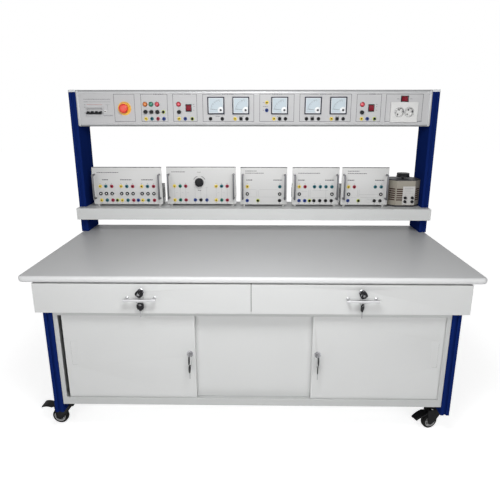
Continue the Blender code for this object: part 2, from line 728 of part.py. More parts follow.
def make_drawer_handle(name, x):
    half, post = HANDLE_LENGTH / 2, HANDLE_PITCH / 2
    bar = HANDLE_BAR / 2
    front = DRAWER_FACE_Y - HANDLE_STANDOFF
    behind = front + HANDLE_BAR
    root = DRAWER_FACE_Y - GAP
    outline = [
        (x - half, front), (x + half, front), (x + half, behind), (x + post + bar, behind),
        (x + post + bar, root), (x + post - bar, root), (x + post - bar, behind),
        (x - post + bar, behind), (x - post + bar, root), (x - post - bar, root),
        (x - post - bar, behind), (x - half, behind),
    ]
    z = HOUSING_TOP_Z - HANDLE_DROP
    shape = bmesh.new()
    prism(shape, outline, "Z", z - bar, z + bar)
    piece(name, shape, BRIGHT_METAL)


def make_key(name, lock, turn=0.0):
    """Lock plug with the key in it; the plug turns about the Y axis through the lock."""
    shape = bmesh.new()
    rod(shape, (0, -LOCK_PROUD, 0), (0, LOCK_DEPTH - GAP, 0), LOCK_RADIUS, LOCK_SIDES)
    key = piece(name, shape, BLACK_PLASTIC, lock)
    blade = bmesh.new()
    stem, bow = KEY_STEM_WIDTH / 2, KEY_BOW_WIDTH / 2
    start = -LOCK_PROUD + SINK
    neck = -LOCK_PROUD - KEY_STEM_LENGTH
    end = neck - KEY_BOW_LENGTH
    chamfer = bow / 2
    outline = [
        (start, -stem), (start, stem), (neck, stem), (neck - chamfer, bow), (end + chamfer, bow),
        (end, chamfer), (end, -chamfer), (end + chamfer, -bow), (neck - chamfer, -bow), (neck, -stem),
    ]
    prism(blade, outline, "X", -KEY_BOW_THICKNESS / 2, KEY_BOW_THICKNESS / 2)
    bmesh.ops.rotate(blade, verts=blade.verts, cent=(0, 0, 0), matrix=Matrix.Rotation(turn, 3, "Y"))
    fuse(key, blade)


def make_cabinet():
    shape = bmesh.new()
    box(
        shape,
        (-CABINET_HALF, CABINET_FRONT_Y, CABINET_Z),
        (CABINET_HALF, CABINET_BACK_Y, CABINET_TOP_Z),
    )
    cabinet = piece("cabinet_shell", shape, GREY_PAINT)
    room = bmesh.new()
    box(
        room,
        (-CABINET_HALF + SHEET, TRACK_BACK_Y, CABINET_Z + SHEET),
        (CABINET_HALF - SHEET, CABINET_BACK_Y - SHEET, CABINET_TOP_Z + OVERRUN),
    )
    cut(cabinet, room)
    track = bmesh.new()
    box(
        track,
        (-CABINET_HALF + SHEET, CABINET_FRONT_Y + TRACK_LIP, TRACK_TOP_Z),
        (CABINET_HALF - SHEET, TRACK_BACK_Y + OVERRUN, CABINET_TOP_Z - TOP_TRACK_HEIGHT),
    )
    cut(cabinet, track)
    mouth = bmesh.new()
    mouth_top = CABINET_TOP_Z - TOP_TRACK_HEIGHT - TOP_LIP_DROP
    box(
        mouth,
        (-OPENING_HALF, CABINET_FRONT_Y - OVERRUN, CABINET_Z + SILL_HEIGHT),
        (OPENING_HALF, CABINET_FRONT_Y + TRACK_LIP + OVERRUN, mouth_top),
    )
    cut(cabinet, mouth)
    panel = bmesh.new()
    box(panel, (-PANEL_HALF, PANEL_FRONT_Y, DOOR_Z), (PANEL_HALF, PANEL_BACK_Y, DOOR_TOP_Z))
    piece("cabinet_middle_panel", panel, DOOR_PAINT)
    closed = OPENING_HALF + DOOR_HIDDEN
    make_door("sliding_door_left", -1, -closed + LEFT_DOOR_AJAR)
    make_door("sliding_door_right", 1, closed - DOOR_WIDTH)


def make_door(name, side, left_edge):
    shape = bmesh.new()
    right_edge = left_edge + DOOR_WIDTH
    box(shape, (left_edge, DOOR_FRONT_Y, DOOR_Z), (right_edge, DOOR_BACK_Y, DOOR_TOP_Z))
    door = piece(name, shape, DOOR_PAINT)
    outer_edge = left_edge if side < 0 else right_edge
    pull_x = outer_edge - side * (PULL_INSET + PULL_WIDTH / 2)
    pull = bmesh.new()
    box(
        pull,
        (pull_x - PULL_WIDTH / 2, DOOR_FRONT_Y - OVERRUN, PULL_HEIGHT - PULL_LENGTH / 2),
        (pull_x + PULL_WIDTH / 2, DOOR_FRONT_Y + PULL_DEPTH, PULL_HEIGHT + PULL_LENGTH / 2),
    )
    cut(door, pull)
    inner_edge = right_edge if side < 0 else left_edge
    lock = Vector((inner_edge + side * DOOR_LOCK_INSET, DOOR_FRONT_Y, LOCK_HEIGHT))
    bore = bmesh.new()
    bore_end = lock + Vector((0, LOCK_DEPTH, 0))
    rod(bore, lock - Vector((0, OVERRUN, 0)), bore_end, LOCK_RADIUS + LOCK_PLAY, LOCK_SIDES)
    cut(door, bore)
    make_key("key_" + name, lock)


def make_post(name, side):
    x_low, x_high = sorted((side * POST_INNER_X, side * WORKTOP_WIDTH / 2))
    shape = bmesh.new()
    outline = profile_outline(x_low, x_high, POST_FRONT_Y, POST_BACK_Y)
    prism(shape, outline, "Z", POST_Z, POST_TOP_Z - POST_CAP_HEIGHT)
    post = piece(name, shape, BLUE_PAINT)
    cap = bmesh.new()
    box(
        cap,
        (x_low, POST_FRONT_Y, POST_TOP_Z - POST_CAP_HEIGHT - SINK),
        (x_high, POST_BACK_Y, POST_TOP_Z),
    )
    fuse(post, cap)


def make_shelf():
    shape = bmesh.new()
    half, inner = WORKTOP_WIDTH / 2, POST_INNER_X - GAP
    notch = POST_FRONT_Y - GAP
    outline = [
        (-half, SHELF_FRONT_Y), (half, SHELF_FRONT_Y), (half, notch), (inner, notch),
        (inner, SHELF_BACK_Y), (-inner, SHELF_BACK_Y), (-inner, notch), (-half, notch),
    ]
    prism(shape, outline, "Z", SHELF_TOP_Z - SHELF_HEIGHT, SHELF_TOP_Z)
    shelf = piece("shelf", shape, GREY_PAINT)
    hollow = bmesh.new()
    box(
        hollow,
        (-inner + SHEET, SHELF_FRONT_Y + SHEET, SHELF_TOP_Z - SHELF_HEIGHT - OVERRUN),
        (inner - SHEET, SHELF_BACK_Y - SHEET, SHELF_TOP_Z - SHEET),
    )
    cut(shelf, hollow)


def make_console_housing():
    front, back = CONSOLE_FRONT_Y, CONSOLE_BACK_Y
    low, high = CONSOLE_Z, POST_TOP_Z
    radius = CONSOLE_EDGE_RADIUS
    steps = 4
    outline = []
    for centre, start in (((front + radius, low + radius), 180), ((front + radius, high - radius), 90)):
        turn = 90 if start == 180 else -90
        first = start if start == 180 else 180
        for step in range(steps + 1):
            angle = math.radians(first + turn * step / steps)
            outline.append((centre[0] + radius * math.cos(angle), centre[1] + radius * math.sin(angle)))
        if start == 180:
            outline += [(back, low), (back, high)]
            lower = list(outline)
            outline = []
    section = lower + list(reversed(outline))
    shape = bmesh.new()
    prism(shape, section, "X", -CONSOLE_HALF, CONSOLE_HALF)
    housing = piece("console_housing", shape, SILVER_PAINT)
    room = bmesh.new()
    box(
        room,
        (-CONSOLE_HALF + CONSOLE_END, front - OVERRUN, low + CONSOLE_RAIL),
        (CONSOLE_HALF - CONSOLE_END, back - SHEET, high - CONSOLE_RAIL),
    )
    cut(housing, room)


def console_x(share):
    return share * 2 * CONSOLE_HALF


def studs(shape, table, row, radius, proud, pitch=JACK_PITCH):
    """Round fittings standing out of the console's face, one run for each entry of a table."""
    for share, count in table.values():
        for step in range(count):
            x, z = console_x(share) + step * pitch, CONSOLE_Z + row
            rod(shape, (x, FACE_Y + SINK, z), (x, FACE_Y - proud, z), radius, FITTING_SIDES)


def rocker_seats():
    """Centre, bezel width and height, and name of each rocker switch."""
    first, second = ROCKER_SHARES
    tall = (ROCKER_BEZEL_WIDTH, ROCKER_BEZEL_HEIGHT)
    wide = (WIDE_ROCKER_BEZEL_WIDTH, WIDE_ROCKER_BEZEL_HEIGHT)
    return (
        ("rocker_single_phase", console_x(first), CONSOLE_Z + ROCKER_ROW, *tall),
        ("rocker_supply", console_x(second), CONSOLE_Z + ROCKER_ROW, *tall),
        ("rocker_outlets", console_x(OUTLET_SHARE), CONSOLE_Z + OUTLET_ROCKER_ROW, *wide),
    )


def make_console_face():
    shape = bmesh.new()
    box(shape, (-FACE_HALF, FACE_Y, FACE_Z), (FACE_HALF, FACE_Y + FACE_THICKNESS, FACE_TOP_Z))
    face = piece("console_face", shape, PANEL_PAINT)
    fittings = bmesh.new()
    studs(fittings, CONSOLE_JACK_SHARES, CONSOLE_JACK_ROW, JACK_RADIUS, JACK_PROUD)
    studs(fittings, CONSOLE_FUSE_SHARES, CONSOLE_FUSE_ROW, FUSE_RADIUS, FUSE_PROUD)
    studs(fittings, CONSOLE_LAMP_SHARES, CONSOLE_LAMP_ROW, LAMP_RADIUS, LAMP_PROUD)
    estop_x, estop_z = console_x(ESTOP_SHARE), CONSOLE_Z + ESTOP_ROW
    rod(
        fittings, (estop_x, FACE_Y + SINK, estop_z), (estop_x, FACE_Y - ESTOP_DISC_PROUD, estop_z),
        ESTOP_DISC_RADIUS, 2 * ROUND_SIDES,
    )
    breaker_x, breaker_z = console_x(BREAKER_SHARE), CONSOLE_Z + BREAKER_ROW
    box(
        fittings,
        (breaker_x - BREAKER_WIDTH / 2, FACE_Y - BREAKER_PROUD, breaker_z - BREAKER_HEIGHT / 2),
        (breaker_x + BREAKER_WIDTH / 2, FACE_Y + BREAKER_SLOT_DEPTH, breaker_z + BREAKER_HEIGHT / 2),
    )
    for name, x, z, width, height in rocker_seats():
        box(
            fittings,
            (x - width / 2, FACE_Y - ROCKER_BEZEL_PROUD, z - height / 2),
            (x + width / 2, FACE_Y + ROCKER_POCKET + SINK, z + height / 2),
        )
    fuse(face, fittings)
    holes = bmesh.new()
    rod(
        holes, (estop_x, FACE_Y - OVERRUN, estop_z), (estop_x, FACE_Y + FACE_THICKNESS + OVERRUN, estop_z),
        ESTOP_STEM_RADIUS + GAP, 2 * ROUND_SIDES,
    )
    slot_half = BREAKER_WIDTH / 2 - SHEET
    box(
        holes,
        (breaker_x - slot_half, FACE_Y - BREAKER_PROUD - OVERRUN, breaker_z - BREAKER_SLOT_HEIGHT / 2),
        (breaker_x + slot_half, FACE_Y + BREAKER_SLOT_DEPTH - SHEET, breaker_z + BREAKER_SLOT_HEIGHT / 2),
    )
    for name, x, z, width, height in rocker_seats():
        half_width, half_height = width / 2 - ROCKER_BORDER, height / 2 - ROCKER_BORDER
        box(
            holes,
            (x - half_width, FACE_Y - ROCKER_BEZEL_PROUD - OVERRUN, z - half_height),
            (x + half_width, FACE_Y + ROCKER_POCKET, z + half_height),
        )
    outlet_x, outlet_z = console_x(OUTLET_SHARE), CONSOLE_Z + OUTLET_ROW
    half_width, half_height = outlet_box_size()
    box(
        holes,
        (outlet_x - half_width - GAP, FACE_Y - OVERRUN, outlet_z - half_height - GAP),
        (outlet_x + half_width + GAP, FACE_Y + FACE_THICKNESS + OVERRUN, outlet_z + half_height + GAP),
    )
    cut(face, holes)


def outlet_box_size():
    """Half width and half height of the outlet's body behind its plate."""
    half_height = OUTLET_WELL_RADIUS + OUTLET_BOX_MARGIN
    return OUTLET_PITCH / 2 + half_height, half_height


def make_outlet():
    x, z = console_x(OUTLET_SHARE), CONSOLE_Z + OUTLET_ROW
    half_width, half_height = outlet_box_size()
    shape = bmesh.new()
    box(
        shape,
        (x - OUTLET_PLATE_WIDTH / 2, FACE_Y - OUTLET_PLATE_PROUD, z - OUTLET_PLATE_HEIGHT / 2),
        (x + OUTLET_PLATE_WIDTH / 2, FACE_Y - GAP, z + OUTLET_PLATE_HEIGHT / 2),
    )
    outlet = piece("outlet_pair", shape, WHITE_PLASTIC)
    back = FACE_Y - OUTLET_PLATE_PROUD + OUTLET_WELL_DEPTH + SHEET
    body = bmesh.new()
    box(
        body,
        (x - half_width, FACE_Y - GAP - SINK, z - half_height),
        (x + half_width, back, z + half_height),
    )
    fuse(outlet, body)
    wells = bmesh.new()
    for side in (-1, 1):
        centre = x + side * OUTLET_PITCH / 2
        rod(
            wells,
            (centre, FACE_Y - OUTLET_PLATE_PROUD - OVERRUN, z),
            (centre, FACE_Y - OUTLET_PLATE_PROUD + OUTLET_WELL_DEPTH, z),
            OUTLET_WELL_RADIUS, 20,
        )
    cut(outlet, wells)


def make_meters():
    half = METER_SIZE / 2
    names = ("one", "two", "three", "four", "five")
    for name, share in zip(names, METER_SHARES):
        x, z = console_x(share), CONSOLE_Z + METER_ROW
        shape = bmesh.new()
        box(shape, (x - half, FACE_Y - METER_PROUD, z - half), (x + half, FACE_Y - GAP, z + half))
        meter = piece("panel_meter_" + name, shape, BLACK_PLASTIC)
        window = bmesh.new()
        inner = half - METER_BORDER
        box(
            window,
            (x - inner, FACE_Y - METER_PROUD - OVERRUN, z - inner),
            (x + inner, FACE_Y - METER_PROUD + METER_WINDOW_DEPTH, z + inner),
        )
        cut(meter, window)


def make_breaker_lever():
    """Four linked toggles; they turn about the X axis through their common axle."""
    half = BREAKER_WIDTH / 2 - SHEET - GAP
    shape = bmesh.new()
    rod(shape, (-half, 0, 0), (half, 0, 0), LEVER_AXLE_RADIUS)
    place = (console_x(BREAKER_SHARE), FACE_Y, CONSOLE_Z + BREAKER_ROW)
    lever = piece("breaker_lever", shape, BLACK_PLASTIC, place)
    pitch = BREAKER_WIDTH / BREAKER_POLES
    comb = bmesh.new()
    tip, root = -LEVER_REACH, -LEVER_REACH + LEVER_BAR
    outline = [(-half, root), (-half, tip), (half, tip), (half, root)]
    for pole in reversed(range(BREAKER_POLES)):
        middle = (pole - (BREAKER_POLES - 1) / 2) * pitch
        low, high = middle - LEVER_WIDTH / 2, middle + LEVER_WIDTH / 2
        outline += [(high, root), (high, 0), (low, 0), (low, root)]
    prism(comb, outline, "Z", -LEVER_THICKNESS / 2, LEVER_THICKNESS / 2)
    bmesh.ops.rotate(comb, verts=comb.verts, cent=(0, 0, 0), matrix=Matrix.Rotation(LEVER_REST, 3, "X"))
    fuse(lever, comb)


def make_estop():
    """Mushroom head on its stem, standing out by its travel above the yellow disc."""
    face = FACE_Y - ESTOP_DISC_PROUD
    stem_end = face - ESTOP_STEM_LENGTH
    shape = bmesh.new()
    cap, crown = ESTOP_CAP_RADIUS, ESTOP_CAP_HEIGHT
    stem = ESTOP_STEM_LENGTH + FACE_THICKNESS
    outline = [
        (0, 0), (ESTOP_STEM_RADIUS, 0), (ESTOP_STEM_RADIUS, stem), (cap - SINK, stem),
        (cap, stem + SINK), (cap, stem + crown / 2), (cap - 4 * SINK, stem + crown - SINK),
        (0, stem + crown),
    ]
    turned(shape, outline, (0, 0, 0), (0, -1, 0), 2 * ROUND_SIDES)
    place = (console_x(ESTOP_SHARE), stem_end + stem, CONSOLE_Z + ESTOP_ROW)
    piece("emergency_stop_button", shape, RED_PLASTIC, place, smooth=True)


def make_rockers():
    """Rocker caps at rest with one side down; each turns about the middle of its bezel."""
    for name, x, z, width, height in rocker_seats():
        half_width = width / 2 - ROCKER_BORDER - GAP
        half_height = height / 2 - ROCKER_BORDER - GAP
        wide = width > height
        reach = half_width if wide else half_height
        across = half_height if wide else half_width
        dip = reach * math.tan(ROCKER_TILT)
        reach -= 2 * GAP
        heel, top = ROCKER_POCKET - GAP - SINK, -ROCKER_RISE
        outline = [
            (-reach, heel - dip), (0, heel), (reach, heel - dip),
            (reach - SINK, top - SINK), (0, top), (-reach + SINK, top - SINK),
        ]
        shape = bmesh.new()
        if wide:
            prism(shape, outline, "Z", -across, across)
            turn = Matrix.Rotation(ROCKER_TILT, 3, "Z")
        else:
            prism(shape, [(v, u) for u, v in outline], "X", -across, across)
            turn = Matrix.Rotation(-ROCKER_TILT, 3, "X")
        bmesh.ops.rotate(shape, verts=shape.verts, cent=(0, 0, 0), matrix=turn)
        piece(name, shape, RED_PLASTIC, (x, FACE_Y, z))


def bow_outline(y_front, root, z_low):
    """Side view of a bow handle with both feet on the panel."""
    high, bar = z_low + BOW_LENGTH, BOW_BAR
    return [
        (root, z_low), (y_front, z_low), (y_front, high), (root, high),
        (root, high - bar), (y_front + bar, high - bar), (y_front + bar, z_low + bar), (root, z_low + bar),
    ]


def make_module(name, left, width, setback, rows, selector=False):
    low = SHELF_TOP_Z + MODULE_FOOT
    front = SHELF_FRONT_Y + setback
    right, middle = left + width, left + width / 2
    shape = bmesh.new()
    box(shape, (left, front, low), (right, front + MODULE_PANEL, low + MODULE_HEIGHT))
    module = piece(name, shape, PANEL_PAINT)
    case = bmesh.new()
    box(
        case,
        (left + MODULE_CASE_INSET, front + MODULE_PANEL - SINK, low + GAP),
        (right - MODULE_CASE_INSET, front + MODULE_PANEL + MODULE_CASE_DEPTH, low + MODULE_CASE_HEIGHT),
    )
    fuse(module, case)
    feet = bmesh.new()
    for x in (left + 2 * MODULE_FOOT_RADIUS, right - 2 * MODULE_FOOT_RADIUS):
        for y in (front + 2 * MODULE_FOOT_RADIUS, front + MODULE_CASE_DEPTH - MODULE_FOOT_RADIUS):
            rod(feet, (x, y, SHELF_TOP_Z + GAP), (x, y, low + SINK), MODULE_FOOT_RADIUS, FITTING_SIDES)
    fuse(module, feet)
    fittings = bmesh.new()
    for row, groups in rows.items():
        for share, count in groups:
            for step in range(count):
                x, z = middle + share * width + step * JACK_PITCH, low + row
                rod(fittings, (x, front + SINK, z), (x, front - JACK_PROUD, z), JACK_RADIUS, FITTING_SIDES)
    for x in (left + BOW_INSET, right - BOW_INSET):
        outline = bow_outline(front - BOW_STANDOFF, front + SINK, low + BOW_LIFT)
        prism(fittings, outline, "X", x - BOW_BAR / 2, x + BOW_BAR / 2)
    fuse(module, fittings)
    if selector:
        centre = (middle + SELECTOR_SHARE * width, front - GAP, low + SELECTOR_ROW)
        knob = bmesh.new()
        radius, shaft, stem = SELECTOR_RADIUS, SELECTOR_SHAFT_RADIUS, SELECTOR_SHAFT_LENGTH
        outline = [
            (0, 0), (shaft, 0), (shaft, stem), (radius, stem), (radius, stem + SELECTOR_HEIGHT / 2),
            (radius - 2 * SINK, stem + SELECTOR_HEIGHT), (0, stem + SELECTOR_HEIGHT),
        ]
        turned(knob, outline, (0, 0, 0), (0, -1, 0), 2 * ROUND_SIDES)
        piece("selector_knob", knob, BLACK_PLASTIC, centre, smooth=True)


def make_shelf_row():
    """The five modules and the transformer, side by side from the left post."""
    lefts = []
    x = -POST_INNER_X + SHELF_LEFT_MARGIN
    for width, gap in zip(SHELF_ROW_WIDTHS, (*SHELF_GAPS, 0)):
        lefts.append(x)
        x += width + gap
    large, small = LARGE_MODULE_WIDTH, SMALL_MODULE_WIDTH
    make_module("module_three_output", lefts[0], large, MODULE_SETBACK, THREE_OUTPUT_ROWS)
    make_module("module_selector", lefts[1], large, SECOND_MODULE_SETBACK, SELECTOR_ROWS, selector=True)
    make_module("module_single", lefts[2], small, MODULE_SETBACK, SINGLE_ROWS)
    make_module("module_multi_tap", lefts[3], small, MODULE_SETBACK, MULTI_TAP_ROWS)
    make_module("module_double", lefts[4], small, MODULE_SETBACK, DOUBLE_ROWS)
    make_transformer(lefts[5])


def chamfered_plan(left, right, front, back, corner):
    return [
        (left + corner, front), (right - corner, front), (right, front + corner),
        (right, back - corner), (right - corner, back), (left + corner, back),
        (left, back - corner), (left, front + corner),
    ]


def make_transformer(left):
    right = left + TRANSFORMER_WIDTH
    front = SHELF_FRONT_Y + TRANSFORMER_SETBACK
    back = front + TRANSFORMER_DEPTH
    base, inset = SHELF_TOP_Z + GAP, TRANSFORMER_BASE_INSET
    body_z = base + TRANSFORMER_BASE
    shape = bmesh.new()
    plan = chamfered_plan(left, right, front, back, TRANSFORMER_CORNER)
    prism(shape, plan, "Z", body_z, base + TRANSFORMER_HEIGHT)
    body = piece("transformer_body", shape, BEIGE_PAINT)
    foot = bmesh.new()
    plan = chamfered_plan(left + inset, right - inset, front + inset, back - inset, TRANSFORMER_CORNER)
    prism(foot, plan, "Z", base, body_z + SINK)
    fuse(body, foot)
    terminals = bmesh.new()
    middle = (left + right) / 2 + TERMINAL_OFFSET
    for column in (-1, 1):
        for row in (0, 1):
            x = middle + column * TERMINAL_SPACING / 2
            z = base + TERMINAL_LOW + row * TERMINAL_PITCH
            start, end = (x, front + SINK, z), (x, front - TERMINAL_PROUD, z)
            rod(terminals, start, end, TERMINAL_RADIUS, FITTING_SIDES)
    fuse(body, terminals)
    top = base + TRANSFORMER_HEIGHT + GAP
    knob = bmesh.new()
    radius, height = TRANSFORMER_KNOB_RADIUS, TRANSFORMER_KNOB_HEIGHT
    shaft, stem = TRANSFORMER_SHAFT_RADIUS, TRANSFORMER_SHAFT_LENGTH
    outline = [
        (0, 0), (shaft, 0), (shaft, stem), (radius, stem), (radius, stem + height / 2),
        (radius - 3 * SINK, stem + height), (0, stem + height),
    ]
    turned(knob, outline, (0, 0, 0), (0, 0, 1), 2 * ROUND_SIDES)
    centre = ((left + right) / 2, (front + back) / 2, top)
    piece("transformer_knob", knob, BLACK_PLASTIC, centre, smooth=True)


make_worktop()
make_drawer_housing()
make_drawer("drawer_left", -1)
make_drawer("drawer_right", 1)
make_castors()
make_cabinet()
make_post("post_left", -1)
make_post("post_right", 1)
make_shelf()
make_console_housing()
make_console_face()
make_outlet()
make_meters()
make_breaker_lever()
make_estop()
make_rockers()
make_shelf_row()
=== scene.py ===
"""Electrician training workbench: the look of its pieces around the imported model.

Metres, +Z up, front towards -Y, the origin on the floor under the middle of the bench.
"""

import math

import bmesh
import bpy
from mathutils import Matrix, Vector


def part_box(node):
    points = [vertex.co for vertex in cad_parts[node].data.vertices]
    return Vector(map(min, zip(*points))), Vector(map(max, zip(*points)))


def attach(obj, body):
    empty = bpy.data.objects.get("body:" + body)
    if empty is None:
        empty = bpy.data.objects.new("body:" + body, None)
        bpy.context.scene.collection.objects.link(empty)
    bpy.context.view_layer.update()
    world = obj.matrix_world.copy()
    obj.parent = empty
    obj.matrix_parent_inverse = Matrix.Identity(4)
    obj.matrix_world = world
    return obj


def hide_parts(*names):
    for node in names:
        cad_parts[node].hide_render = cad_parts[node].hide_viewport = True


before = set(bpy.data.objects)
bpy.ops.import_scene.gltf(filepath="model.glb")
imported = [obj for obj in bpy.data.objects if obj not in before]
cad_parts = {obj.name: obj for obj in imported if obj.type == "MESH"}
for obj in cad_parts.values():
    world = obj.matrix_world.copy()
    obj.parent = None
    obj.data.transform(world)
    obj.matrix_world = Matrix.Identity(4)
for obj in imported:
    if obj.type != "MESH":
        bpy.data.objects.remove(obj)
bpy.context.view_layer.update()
scene = bpy.context.scene
scene.view_settings.view_transform = "Standard"

# Camera
# It stands in front of the bench, a little above the worktop, and looks slightly down on it.
# The lens, the place and the turn are those that give the photograph's perspective.
LENS = 32.985
LENS_SHIFT = (-0.00283, -0.02509)
CAMERA_PLACE = (0.02214, -1.81303, 1.18193)
CAMERA_DOWN = 0.26837
CAMERA_TURN = 0.01437

view = bpy.data.cameras.new("front_view")
view.sensor_width = 36.0
view.lens = LENS
view.shift_x, view.shift_y = LENS_SHIFT
view.clip_end = 60.0
camera = bpy.data.objects.new("front_view", view)
camera.location = CAMERA_PLACE
camera.rotation_euler = (math.pi / 2 - CAMERA_DOWN, 0.0, CAMERA_TURN)
scene.collection.objects.link(camera)
scene.camera = camera

# Studio
# A white surround that only the camera, mirrors and glass see, over a pale floor that keeps the
# bench's shadow. One broad lamp in front lights it from above, and three weak ones lift the rest.
SURROUND_LIGHT = 0.12
FLOOR_WHITE = 0.80
FLOOR_HALF = 12.0
# The floor's own glow rises with the distance from the bench
FLOOR_RISE = {"From Min": 0.9, "From Max": 2.6, "To Min": 0.74, "To Max": 0.95}
# Place, target, size and power of each lamp
LAMPS = {
    "front_lamp": ((0.0, -0.95, 1.62), (0.0, -0.05, 0.62), (0.6, 0.4), 11.6),
    "left_lamp": ((-1.3, -3.1, 1.3), (0.0, 0.0, 0.6), (2.0, 1.6), 27.0),
    "right_lamp": ((1.3, -3.1, 1.3), (0.0, 0.0, 0.6), (2.0, 1.6), 26.0),
    "back_lamp": ((0.0, 3.0, 0.45), (0.0, 0.0, 0.55), (2.0, 0.7), 12.0),
}


def seen_directly(tree):
    """1 for what the camera, mirrors and glass see, 0 for the light that falls on things."""
    rays = tree.nodes.new("ShaderNodeLightPath")
    total = rays.outputs["Is Camera Ray"]
    for name in ("Is Glossy Ray", "Is Transmission Ray"):
        add = tree.nodes.new("ShaderNodeMath")
        add.operation = "ADD"
        add.use_clamp = True
        tree.links.new(total, add.inputs[0])
        tree.links.new(rays.outputs[name], add.inputs[1])
        total = add.outputs[0]
    return total


def as_mesh(shape, name):
    """The shape as a mesh of its own."""
    mesh = bpy.data.meshes.new(name)
    shape.to_mesh(mesh)
    shape.free()
    return mesh


surround = bpy.data.worlds.new("white_surround")
surround.use_nodes = True
scene.world = surround
nodes, links = surround.node_tree.nodes, surround.node_tree.links
glow = nodes["Background"]
glow.inputs["Color"].default_value = (SURROUND_LIGHT, SURROUND_LIGHT, SURROUND_LIGHT, 1.0)
paper = nodes.new("ShaderNodeBackground")
paper.inputs["Color"].default_value = (1.0, 1.0, 1.0, 1.0)
choose = nodes.new("ShaderNodeMixShader")
links.new(seen_directly(surround.node_tree), choose.inputs["Fac"])
links.new(glow.outputs[0], choose.inputs[1])
links.new(paper.outputs[0], choose.inputs[2])
links.new(choose.outputs[0], nodes["World Output"].inputs["Surface"])

for name, (place, target, size, power) in LAMPS.items():
    lamp = bpy.data.lights.new(name, "AREA")
    lamp.shape = "RECTANGLE"
    lamp.size, lamp.size_y = size
    lamp.energy = power
    holder = bpy.data.objects.new(name, lamp)
    holder.location = place
    aim = Vector(target) - Vector(place)
    holder.rotation_euler = aim.to_track_quat("-Z", "Y").to_euler()
    holder.visible_camera = False
    scene.collection.objects.link(holder)

sweep = bmesh.new()
bmesh.ops.create_grid(sweep, x_segments=1, y_segments=1, size=FLOOR_HALF)
floor = bpy.data.objects.new("studio_floor", as_mesh(sweep, "studio_floor"))
scene.collection.objects.link(floor)
floor_paint = bpy.data.materials.new("studio_floor")
floor_paint.use_nodes = True
nodes, links = floor_paint.node_tree.nodes, floor_paint.node_tree.links
nodes.clear()
matt = nodes.new("ShaderNodeBsdfDiffuse")
matt.inputs["Color"].default_value = (FLOOR_WHITE, FLOOR_WHITE, FLOOR_WHITE, 1.0)
lift = nodes.new("ShaderNodeEmission")
spot = nodes.new("ShaderNodeTexCoord")
distance = nodes.new("ShaderNodeVectorMath")
distance.operation = "LENGTH"
links.new(spot.outputs["Object"], distance.inputs[0])
rise = nodes.new("ShaderNodeMapRange")
for socket, value in FLOOR_RISE.items():
    rise.inputs[socket].default_value = value
links.new(distance.outputs["Value"], rise.inputs["Value"])
scale = nodes.new("ShaderNodeMath")
scale.operation = "MULTIPLY"
links.new(rise.outputs["Result"], scale.inputs[1])
links.new(seen_directly(floor_paint.node_tree), scale.inputs[0])
links.new(scale.outputs[0], lift.inputs["Strength"])
both = nodes.new("ShaderNodeAddShader")
links.new(matt.outputs[0], both.inputs[0])
links.new(lift.outputs[0], both.inputs[1])
links.new(both.outputs[0], nodes.new("ShaderNodeOutputMaterial").inputs["Surface"])
floor.data.materials.append(floor_paint)

# Worktop
# A 23 mm board covered in grey laminate, which is formed over its rounded edges and corners.
# It is screwed down on the drawer unit from below, so its top shows no fixings.
WORKTOP_CORNER = 0.020
WORKTOP_NOSE = 0.0095
LAMINATE_GREY = (0.575, 0.58, 0.585)
# Lighter grey for the faces turned to the front: a painted highlight on the same laminate as the
# top
NOSE_HIGHLIGHT_GREY = (0.72, 0.725, 0.73)
CLOSE = 1e-6


def grain_effect():
    """Node group: slow mottle in the colour, fine grain in the gloss and in the surface."""
    effect = bpy.data.node_groups.new("fine_grain", "ShaderNodeTree")
    sockets = effect.interface
    for way, kind, names in (
        ("INPUT", "Color", ("Colour",)),
        ("INPUT", "Float", ("Mottle", "Mottle Scale", "Grain Scale")),
        ("INPUT", "Float", ("Roughness", "Spread", "Relief")),
        ("INPUT", "Vector", ("Stretch",)),
        ("OUTPUT", "Color", ("Colour",)),
        ("OUTPUT", "Float", ("Roughness",)),
        ("OUTPUT", "Vector", ("Normal",)),
    ):
        for name in names:
            sockets.new_socket(name, in_out=way, socket_type="NodeSocket" + kind)
    nodes, links = effect.nodes, effect.links
    given, result = nodes.new("NodeGroupInput"), nodes.new("NodeGroupOutput")
    place = nodes.new("ShaderNodeTexCoord")
    stretch = nodes.new("ShaderNodeVectorMath")
    stretch.operation = "MULTIPLY"
    links.new(place.outputs["Object"], stretch.inputs[0])
    links.new(given.outputs["Stretch"], stretch.inputs[1])
    slow, fine = nodes.new("ShaderNodeTexNoise"), nodes.new("ShaderNodeTexNoise")
    for noise, detail, scale in ((slow, 4.0, "Mottle Scale"), (fine, 2.0, "Grain Scale")):
        noise.inputs["Detail"].default_value = detail
        links.new(stretch.outputs[0], noise.inputs["Vector"])
        links.new(given.outputs[scale], noise.inputs["Scale"])

    def math_node(operation, first, second):
        node = nodes.new("ShaderNodeMath")
        node.operation = operation
        for socket, value in zip(node.inputs, (first, second)):
            if isinstance(value, float):
                socket.default_value = value
            else:
                links.new(value, socket)
        return node.outputs[0]

    both = math_node("ADD", slow.outputs["Fac"], fine.outputs["Fac"])
    wave = math_node("SUBTRACT", both, 1.0)
    mottle = math_node("MULTIPLY", wave, given.outputs["Mottle"])
    tint = nodes.new("ShaderNodeVectorMath")
    tint.operation = "SCALE"
    links.new(given.outputs["Colour"], tint.inputs[0])
    links.new(math_node("ADD", mottle, 1.0), tint.inputs["Scale"])
    links.new(tint.outputs[0], result.inputs["Colour"])
    spread = math_node("MULTIPLY", wave, given.outputs["Spread"])
    links.new(math_node("ADD", spread, given.outputs["Roughness"]), result.inputs["Roughness"])
    bump = nodes.new("ShaderNodeBump")
    bump.inputs["Strength"].default_value = 0.5
    links.new(fine.outputs["Fac"], bump.inputs["Height"])
    links.new(given.outputs["Relief"], bump.inputs["Distance"])
    links.new(bump.outputs["Normal"], result.inputs["Normal"])
    return effect


FINE_GRAIN = grain_effect()


